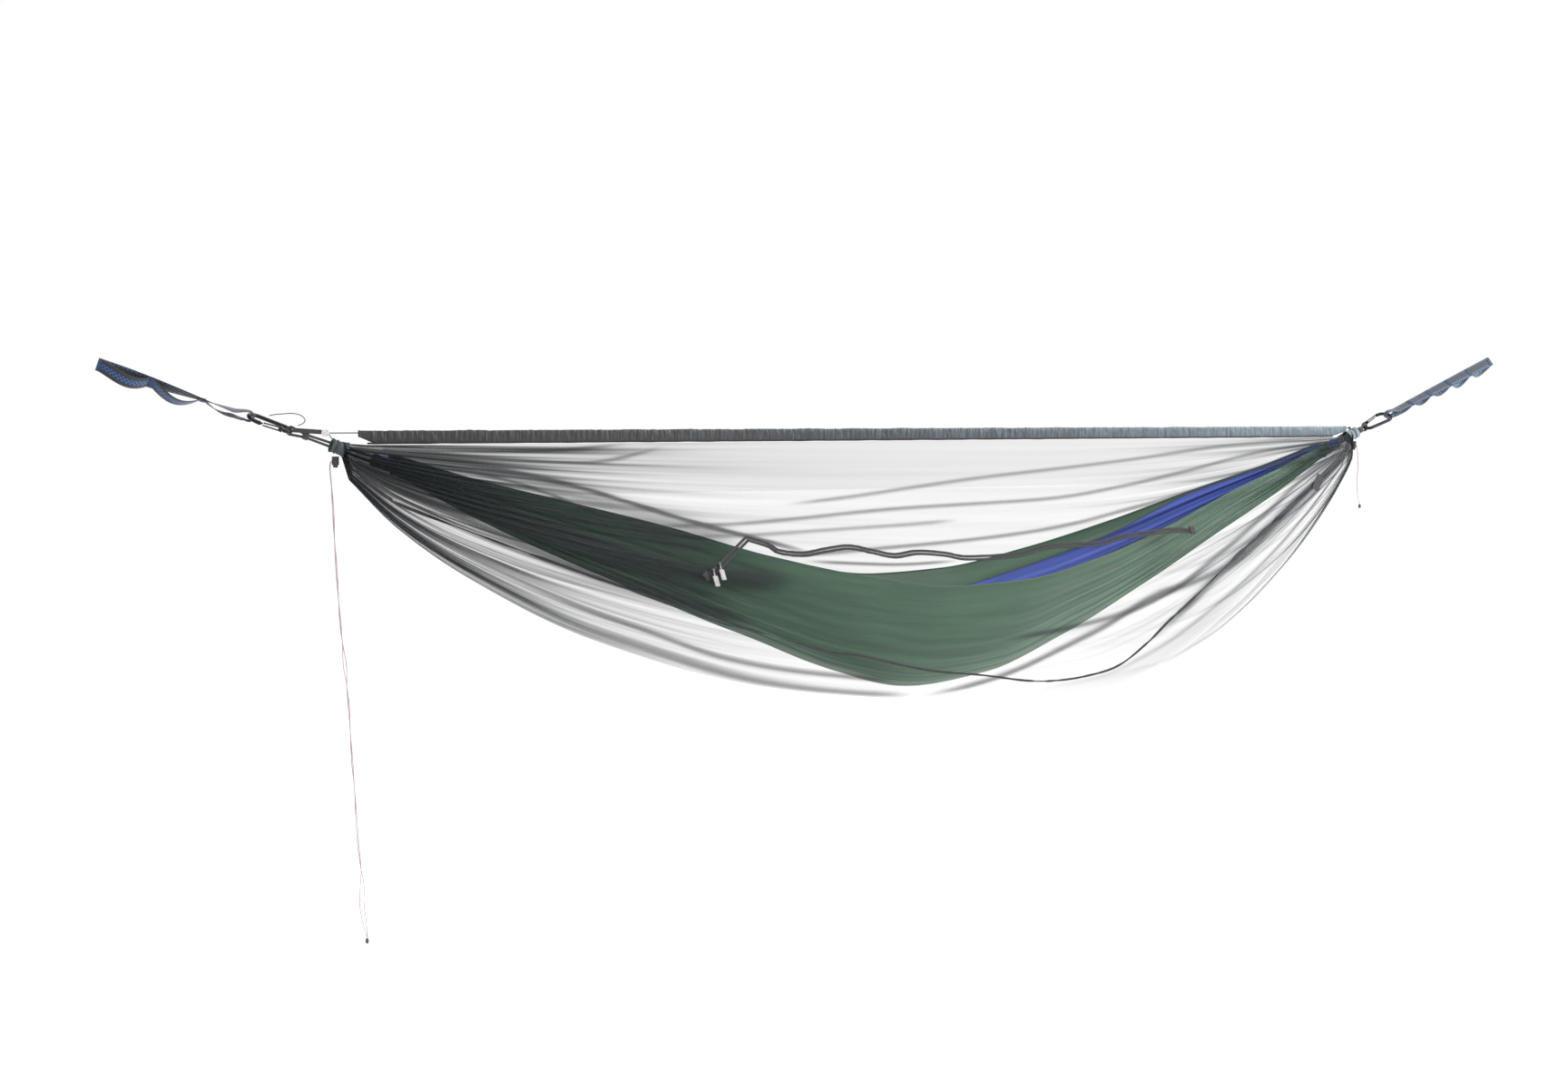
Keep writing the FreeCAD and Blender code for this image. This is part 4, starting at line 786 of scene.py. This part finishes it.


# the wide, many-layered folds over the hammock's band on the left half are partly real folds and partly
# painted shade on that end
# folds of the near wall: (reach, down) along each, half width in mm, extra layers, raised by mm
FOLDS = [
    ([(-1240, 0.12), (-1130, 0.14), (-870, 0.22), (-725, 0.29), (-590, 0.35), (-495, 0.38), (-340, 0.43)
      ], 5, 9, 4),
    ([(-1240, 0.14), (-1140, 0.16), (-930, 0.23), (-730, 0.34), (-560, 0.39), (-480, 0.41)], 26, 3.2, 3),
    ([(-1150, 0.18), (-990, 0.24), (-735, 0.39), (-545, 0.42)], 4, 6, 3),
    ([(-1285, 0.09), (-980, 0.11), (-820, 0.1), (-605, 0.01)], 4, 4, 3),
    ([(-1290, 0.12), (-1100, 0.07), (-855, 0.035), (-685, 0.0)], 4, 5, 3),
    ([(-1290, 0.34), (-1105, 0.43), (-930, 0.49), (-755, 0.55), (-575, 0.56), (-400, 0.54)], 20, 9, 5),
    ([(-1290, 0.5), (-1110, 0.58), (-900, 0.65), (-680, 0.69), (-480, 0.74)], 13, 8, 5),
    ([(-1290, 0.4), (-1100, 0.5), (-900, 0.57), (-700, 0.62), (-520, 0.66)], 9, 6, 4),
    ([(-1290, 0.24), (-1100, 0.31), (-900, 0.38), (-700, 0.44), (-560, 0.47)], 8, 6, 4),
    ([(1270, 0.24), (1185, 0.13), (905, 0.2), (570, 0.26), (210, 0.34), (-110, 0.39), (-450, 0.45)
      ], 4, 4.5, 3),
    ([(1270, 0.16), (1130, 0.08), (710, 0.15), (295, 0.22), (-80, 0.25), (-400, 0.31), (-735, 0.39)
      ], 4, 4, 3),
    ([(1270, 0.1), (1080, 0.03), (595, 0.08), (90, 0.15), (-390, 0.25)], 4, 3.5, 3),
    ([(1265, 0.3), (1100, 0.34), (945, 0.43), (695, 0.53), (485, 0.62), (280, 0.68), (90, 0.73)
      ], 6, 5, 4),
    ([(-745, 0.44), (-410, 0.36), (55, 0.29)], 4, 3, 3),
    ([(-1290, 0.92), (-1170, 0.95), (-900, 0.965), (-720, 0.955), (-470, 0.965), (-190, 0.975),
      (-40, 0.97)], 9, 5, 3),
    ([(-40, 0.97), (125, 0.87), (335, 0.71), (565, 0.58), (780, 0.57), (1080, 0.45), (1240, 0.42)
      ], 8, 6, 4),
    ([(-1290, 0.84), (-1140, 0.85), (-925, 0.86), (-740, 0.87), (-535, 0.9), (-320, 0.9), (-100, 0.91)
      ], 6, 5, 3),
    ([(517, 0.79), (568, 0.72), (629, 0.665), (742, 0.583), (825, 0.548), (935, 0.512), (1060, 0.462),
      (1151, 0.425), (1230, 0.365), (1272, 0.32)], 13, 6, 2),
    ([(-380, 0.46), (-185, 0.46), (15, 0.44)], 3, 6, 2),
]


def fold_at(route, reach):
    """(down, strength) of a fold at a reach, or None outside it."""
    first, last = sorted((route[0][0], route[-1][0]))
    if not first <= reach <= last:
        return None
    ordered = route if route[0][0] < route[-1][0] else route[::-1]
    down, = table_at(ordered, reach)
    fade = min(soft(reach, first, first + 90), 1 - soft(reach, last - 90, last))
    if first < -1200:
        fade = 1 - soft(reach, last - 120, last)
    if last > 1200:
        fade = soft(reach, first, first + 120)
    return down, fade


MESH_ALPHA = 0.100      # share of light one flat layer of the mesh stops
FOLD_DARK = 2.5         # how much a creased fold adds to the flat mesh
RAISED = 0.45           # how far a fold stands out, of its given height


def net_sample(reach, down, side, folds):
    """Position, density and painted light tone of the net at one place."""
    p = net_base(reach, down, side)
    outward = net_outward(reach, down, side)
    end_share = soft(abs(reach), 250, 1290)
    deep, _ = table_at(NET, max(NET[0][0], min(NET[-1][0], reach)))
    seed = 11.0 if side < 0 else 37.0
    drift = 0.9 * wavy(reach / 520, down * 3.0, seed) + 0.35 * wavy(reach / 190, down * 6.0, seed + 5)
    pleat = math.sin(2 * math.pi * 21 * down + 4.0 * drift)
    fine = math.sin(2 * math.pi * 47 * down + 7.0 * drift + 1.0)
    lift = (0.5 + 3.0 * end_share) * (0.5 + 0.5 * pleat) + (0.2 + 1.0 * end_share) * fine
    slow = 4.5 * wavy(reach / 330, down * 5.0, seed + 9) * (1 - end_share)
    streak = (0.9 * wavy(reach / 700, down * 34, seed + 2)
              + 0.7 * wavy(reach / 500, down * 78, seed + 3)
              + 0.6 * wavy(reach / 900, down * 15, seed + 4))
    # partly painted shade: the mesh gets far more layers towards the shaded left end than the right, beyond
    # its real bunching
    bunched = 3.4 - 2.5 * soft(reach, -900, 600)
    layers = 1 + ((1 / max(deep, 0.12)) ** 1.15 - 1) * bunched
    layers *= math.exp((0.45 + 2.9 * end_share) * streak)
    raised = 0.0
    for route, half, extra, height in folds:
        found = fold_at(route, reach)
        if found is None:
            continue
        at, fade = found
        away = (down - at) * max(deep, 0.13) * NET_DEPTH / half
        if abs(away) > 3:
            continue
        near = math.exp(-away * away)
        layers += FOLD_DARK * extra * fade * near
        raised += RAISED * height * fade * near
    pin = soft(down, 0.0, 0.03)
    if side < 0 or down > 0.02:
        p = p + outward * ((lift + raised + slow * pin) * pin * MM * min(1.0, 0.25 + deep * 2.2))
    density = 1 - (1 - MESH_ALPHA) ** max(layers, 0.5)
    # painted light: the net's tone is lighter towards the lit right end and towards the bottom
    lit = soft(reach, -300, 1250) * 0.8 + 0.2 * soft(down, 0.5, 1.0)
    return p, min(0.97, density), min(1.0, lit)


def net_wall(side, mat):
    name = "net_wall_near" if side == NEAR else "net_wall_far"
    node = "net_near_wall" if side == NEAR else "net_far_wall"
    rows, columns = 330, 300
    folds = FOLDS if side == NEAR else []
    points, uvs, paint = [], [], []
    for i in range(rows):
        reach = NET_ENDS[0] + (NET_ENDS[1] - NET_ENDS[0]) * i / (rows - 1)
        for j in range(columns):
            down = j / (columns - 1)
            p, density, lit = net_sample(reach, down, side, folds)
            points.append(p)
            uvs.append((reach * MM, down * 0.82))
            paint.append((density, lit))
    obj = piece(name, mesh_data(name, points, grid_faces(rows, columns), uvs, paint), mat, "hammock")
    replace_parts(obj, node)


def collar(side, mat, cord_mat):
    """The net's gathered mouth: a pleated channel cinched by its drawcord, with a frill."""
    contact, hem = (LEFT_CONTACT, LEFT_HEM) if side == "left" else (RIGHT_CONTACT, RIGHT_HEM)
    along = (hem - contact).normalized()
    reach = -GATHER_REACH if side == "left" else GATHER_REACH - 18
    gather = rope_axis(reach)
    rise = V((0, 1, 0)).cross(along).normalized()
    rows, columns = 34, 288
    points, uvs = [], []
    for i in range(rows):
        share = i / (rows - 1)
        offset = -0.0112 + 0.0335 * share
        cinch = math.exp(-(offset / 0.0030) ** 2)
        flare = soft(offset, 0.008, 0.0222)
        tip = soft(-offset, 0.006, 0.0112)
        for j in range(columns):
            turn = 2 * math.pi * j / columns
            ruffle = math.sin(23 * turn + 1.1 * math.sin(3 * turn)) + 0.4 * math.sin(41 * turn + 2)
            deep = 0.55 + 0.75 * flare + 0.6 * tip - 0.3 * cinch
            r = 12.9 - 1.2 * cinch + 2.6 * flare + 0.9 * tip + ruffle * deep
            away = V((0, 1, 0)) * math.cos(turn) + rise * math.sin(turn)
            points.append(gather + along * (offset + 0.0009 * ruffle * (flare + tip)) + away * (r * MM))
            uvs.append((share * 0.034, j / columns * 0.3))
    name = side + "_gathered_collar"
    data = mesh_data(name, points, grid_faces(rows, columns, closed=True), uvs)
    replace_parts(piece(name, data, mat, "hammock"), side + "_net_collar")
    path = []
    for k in range(73):
        turn = 2 * math.pi * k / 72
        away = V((0, 1, 0)) * math.cos(turn) + rise * math.sin(turn)
        path.append(gather + away * 0.0136 + along * (0.0006 * math.sin(9 * turn)))
    name = side + "_cinch_cord"
    ring = piece(name, tube_data(name, path, 0.0011, 8), cord_mat, "hammock")
    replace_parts(ring, side + "_drawcord")


def sleeve(mat, bind):
    """The ruffled sleeve on the ridge line and the binding along its lower edge."""
    rows, columns = 980, 22
    points, uvs = [], []
    ends = (-1281, 1283)
    for i in range(rows):
        reach = ends[0] + (ends[1] - ends[0]) * i / (rows - 1)
        taper = soft(reach, ends[0], ends[0] + 35) * (1 - soft(reach, ends[1] - 50, ends[1]))
        gathered = 1.25 if reach < -900 or reach > 900 else 1.0
        top = -0.6 + 0.9 * wavy(reach / 11, 0.0, 3.0) + 1.2 * wavy(reach / 60, 1.0, 3.0)
        tall = 8 + (SLEEVE_TALL - 10) * (0.35 + 0.65 * taper)
        for j in range(columns):
            turn = 2 * math.pi * j / columns
            down = 0.5 - 0.5 * math.cos(turn)
            side = math.sin(turn)
            belly = math.copysign(abs(side) ** 0.7, side)
            pucker = wavy(reach / 5.5, down * 1.6, 5.0) + 0.9 * wavy(reach / 13, down * 1.1, 7.0)
            pucker *= gathered
            y = belly * (1.9 + 1.1 * pucker * (0.4 + 0.6 * math.sin(math.pi * down))) * (0.5 + 0.5 * taper)
            points.append(place(reach + 0.8 * pucker, y, top + tall * down))
            uvs.append((reach * MM, down * 0.05))
    data = mesh_data("ruffled_sleeve", points, grid_faces(rows, columns, closed=True), uvs)
    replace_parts(piece("ruffled_sleeve", data, mat, "hammock"), "net_ridge_sleeve")
    points, uvs = [], []
    outline = [(-1, -1), (-1, 1), (1, 1), (1, -1)]
    steps = 520
    for i in range(steps):
        reach = -SLEEVE_REACH + 2500 * i / (steps - 1)
        for a, b in outline:
            points.append(place(reach, a * 1.1 + 0.5 * wavy(reach / 20, 2.0, 8.0),
                                SLEEVE_TALL - 1.9 + b * 1.9 + 0.8 * wavy(reach / 45, 5.0, 8.0)))
            uvs.append((reach * MM, (a + b) * 0.002))
    data = mesh_data("sleeve_edge_binding", points, grid_faces(steps, 4, closed=True), uvs)
    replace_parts(piece("sleeve_edge_binding", data, bind, "hammock"), "sleeve_binding")


# ---------------- zip and seam
ZIP_ROUTE = [(-602, 0.565), (-496, 0.397), (-452, 0.416), (-430, 0.438), (-374, 0.441), (-316, 0.420),
             (-259, 0.406), (-207, 0.419), (-155, 0.432), (-95, 0.418), (-27, 0.423), (31, 0.435),
             (162, 0.424), (243, 0.397), (320, 0.392), (400, 0.390), (483, 0.373), (621, 0.373),
             (674, 0.391)]
ZIP_OUT = 7.0
COIL_HALF, TAPE_WIDE, TAPE_THICK = 0.0022, 0.0055, 0.001
SEAM_ROUTE = [(-1284, 0.760), (-1262, 0.752), (-1232, 0.738), (-1195, 0.720), (-1006, 0.671),
              (-864, 0.681), (-754, 0.701), (-582, 0.750), (-499, 0.757), (-332, 0.800),
              (-253, 0.806), (-120, 0.838), (-37, 0.854), (81, 0.864), (201, 0.886), (282, 0.889),
              (368, 0.876), (451, 0.850), (517, 0.776), (568, 0.706), (629, 0.653), (742, 0.571),
              (825, 0.538), (935, 0.504), (1060, 0.455), (1151, 0.420), (1230, 0.360),
              (1255, 0.335), (1272, 0.315)]


def off_net(reach, down, out):
    """A point in front of the near wall, with the wall's outward normal."""
    normal = net_outward(reach, down, NEAR)
    return net_base(reach, down, NEAR) + normal * (out * MM), normal


def zip_path():
    ends = [off_net(r, d, ZIP_OUT) for r, d in ZIP_ROUTE]
    middles, normals = [p for p, _ in ends], [n for _, n in ends]
    head = [middles[0].lerp(middles[1], k / 24) for k in range(24)]
    head_n = [normals[0].lerp(normals[1], k / 24) for k in range(24)]
    return head + spline(middles[1:], 420), head_n + spline(normals[1:], 420)


def door_zip(tape_mat, coil_mat, stop_mat):
    path, normals = zip_path()
    count = len(path)
    edges = []
    for k, (p, n) in enumerate(zip(path, normals)):
        run = (path[min(k + 1, count - 1)] - path[max(k - 1, 0)]).normalized()
        n = (n - run * n.dot(run)).normalized()
        across = n.cross(run)
        if across.z < 0:
            across = -across
        edges.append((p, across, n))
    for name, node, sign in (("zip_tape_above", "zip_upper_tape", 1),
                             ("zip_tape_below", "zip_lower_tape", -1)):
        points, uvs = [], []
        ring = [(j, 1) for j in range(8)] + [(j, -1) for j in range(7, -1, -1)]
        for k, (p, across, n) in enumerate(edges):
            for j, face in ring:
                share = j / 7
                ruffle = 0.9 * wavy(k / 5.0, share, 6.0 + sign) * share
                base = p + across * (sign * (COIL_HALF * 0.7 + TAPE_WIDE * share))
                points.append(base + n * (ruffle * MM + face * TAPE_THICK / 2))
                uvs.append((k * 0.003, share * TAPE_WIDE))
        data = mesh_data(name, points, grid_faces(count, len(ring), closed=True), uvs)
        obj = piece(name, data, tape_mat, "hammock")
        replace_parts(obj, node)
    turns = 560
    steps = 8 * turns
    coil = []
    for k in range(steps + 1):
        t = k / steps * (count - 1)
        i = min(int(t), count - 2)
        f = t - i
        p = edges[i][0].lerp(edges[i + 1][0], f)
        across, n = edges[i][1], edges[i][2]
        turn = 2 * math.pi * turns * k / steps
        coil.append(p + across * (0.0019 * math.cos(turn)) + n * (0.0008 * math.sin(turn)))
    data = tube_data("zip_coil_teeth", coil, 0.00042, 5)
    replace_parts(piece("zip_coil_teeth", data, coil_mat, "hammock"), "zip_coil")
    for node in ("zip_left_stop", "zip_right_stop"):
        paint_node(node, stop_mat)


def seam_frames(route, out, count):
    pairs = [off_net(r, d, out) for r, d in route]
    path = spline([p for p, _ in pairs], count)
    normals = spline([n for _, n in pairs], count)
    out_list = []
    for k, (p, n) in enumerate(zip(path, normals)):
        run = (path[min(k + 1, count - 1)] - path[max(k - 1, 0)]).normalized()
        n = (n - run * n.dot(run)).normalized()
        out_list.append((p, n.cross(run), n))
    return out_list


def lower_seam(bind):
    """The bound foot seam: a rolled, twisting band that widens towards the right gather."""
    count = 620
    frames = seam_frames(SEAM_ROUTE, 3.2, count)
    points, uvs = [], []
    for k, (p, across, n) in enumerate(frames):
        share = k / (count - 1)
        twist = 1.4 * wavy(k / 9.0, 0.0, 13.0) + 2.2 * wavy(k / 34.0, 3.0, 13.0)
        wide = 0.0036 + 0.0026 * soft(share, 0.62, 0.9) + 0.0010 * wavy(k / 14.0, 6.0, 13.0)
        thick = 0.0016
        a = across * math.cos(twist) + n * (0.35 * math.sin(twist))
        b = n * math.cos(twist * 0.5) - across * (0.3 * math.sin(twist))
        for j in range(10):
            turn = 2 * math.pi * j / 10
            points.append(p + a * (wide * math.cos(turn)) + b * (thick * math.sin(turn)))
            uvs.append((share * 2.6, j / 10 * 0.012))
    data = mesh_data("foot_seam", points, grid_faces(count, 10, closed=True), uvs)
    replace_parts(piece("foot_seam", data, bind, "hammock"), "net_lower_seam")


# ---------------- small fittings
def fittings():
    metal = plain("black_anodised", (0.010, 0.010, 0.012), (0.035, 0.035, 0.04), 500.0, 0.32,
                  metallic=0.85, height=0.0001)
    steel = plain("bright_steel", (0.35, 0.35, 0.36), (0.6, 0.6, 0.61), 600.0, 0.3,
                  metallic=1.0, height=0.00005)
    silver = plain("polished_alloy", (0.55, 0.55, 0.57), (0.8, 0.8, 0.82), 500.0, 0.25,
                   metallic=1.0, height=0.00005)
    plastic = plain("lock_black", (0.012, 0.012, 0.014), (0.03, 0.03, 0.034), 1200.0, 0.45, height=0.0001)
    pull = plain("pull_grey", (0.22, 0.22, 0.22), (0.42, 0.42, 0.41), 900.0, 0.4, height=0.0001)
    rope = braid("rope_black", (0.008, 0.008, 0.010), (0.035, 0.035, 0.04), 420.0)
    thin = braid("thin_cord_black", (0.010, 0.010, 0.012), (0.05, 0.045, 0.05), 900.0)
    tape = plain("grosgrain_black", (0.008, 0.008, 0.010), (0.030, 0.030, 0.034), 1500.0, 0.8)
    for side in ("left", "right"):
        for part, mat in (("_carabiner", metal), ("_gate", metal), ("_gate_pin", steel), ("_end_rope", rope),
                          ("_rope_knot", rope), ("_lock_barrel", plastic), ("_lock_plunger", plastic),
                          ("_lock_spring", steel)):
            paint_node(side + part, mat)
    for name, mat in (("ridge_line", thin), ("ridge_knot", thin), ("ridge_tie", thin), ("keeper_loop", thin),
                      ("ridge_tab", tape), ("ridge_tensioner", silver), ("net_label", tape),
                      ("zip_slider_rear", metal), ("zip_slider_lead", metal), ("zip_pull_rear", pull),
                      ("zip_pull_lead", pull)):
        paint_node(name, mat)
    return thin, tape


# ---------------- build
studio()
tails()
straps()
thin_cord, grosgrain = fittings()
finish_cloth(hammock())
mesh_mat = netting("bug_mesh", (0.010, 0.012, 0.014))
net_wall(FAR, mesh_mat)
net_wall(NEAR, mesh_mat)
# shaded and lit copies of the collar nylon: the right collar is painted paler as the lit end, each with
# painted light along it
shaded_collar_nylon = ruffled("collar_nylon_left_painted_shade", (0.012, 0.022, 0.024), (0.05, 0.09, 0.10), (0.40, 0.52))
lit_collar_nylon = ruffled("collar_nylon_right_painted_light", (0.10, 0.13, 0.15), (0.22, 0.28, 0.33), (3.02, 3.12))
collar("left", shaded_collar_nylon, thin_cord)
collar("right", lit_collar_nylon, thin_cord)
# painted light: the sleeve runs from black at its shaded left end to slate grey at the lit right end
sleeve_nylon = ruffled("sleeve_nylon", (0.006, 0.006, 0.008), (0.085, 0.12, 0.15), (0.7, 3.0))
sleeve(sleeve_nylon, grosgrain)
door_zip(plain("zip_tape_black", (0.006, 0.006, 0.008), (0.024, 0.024, 0.028), 1600.0, 0.8),
         plain("zip_teeth_black", (0.008, 0.008, 0.010), (0.03, 0.03, 0.034), 900.0, 0.4), grosgrain)
lower_seam(grosgrain)
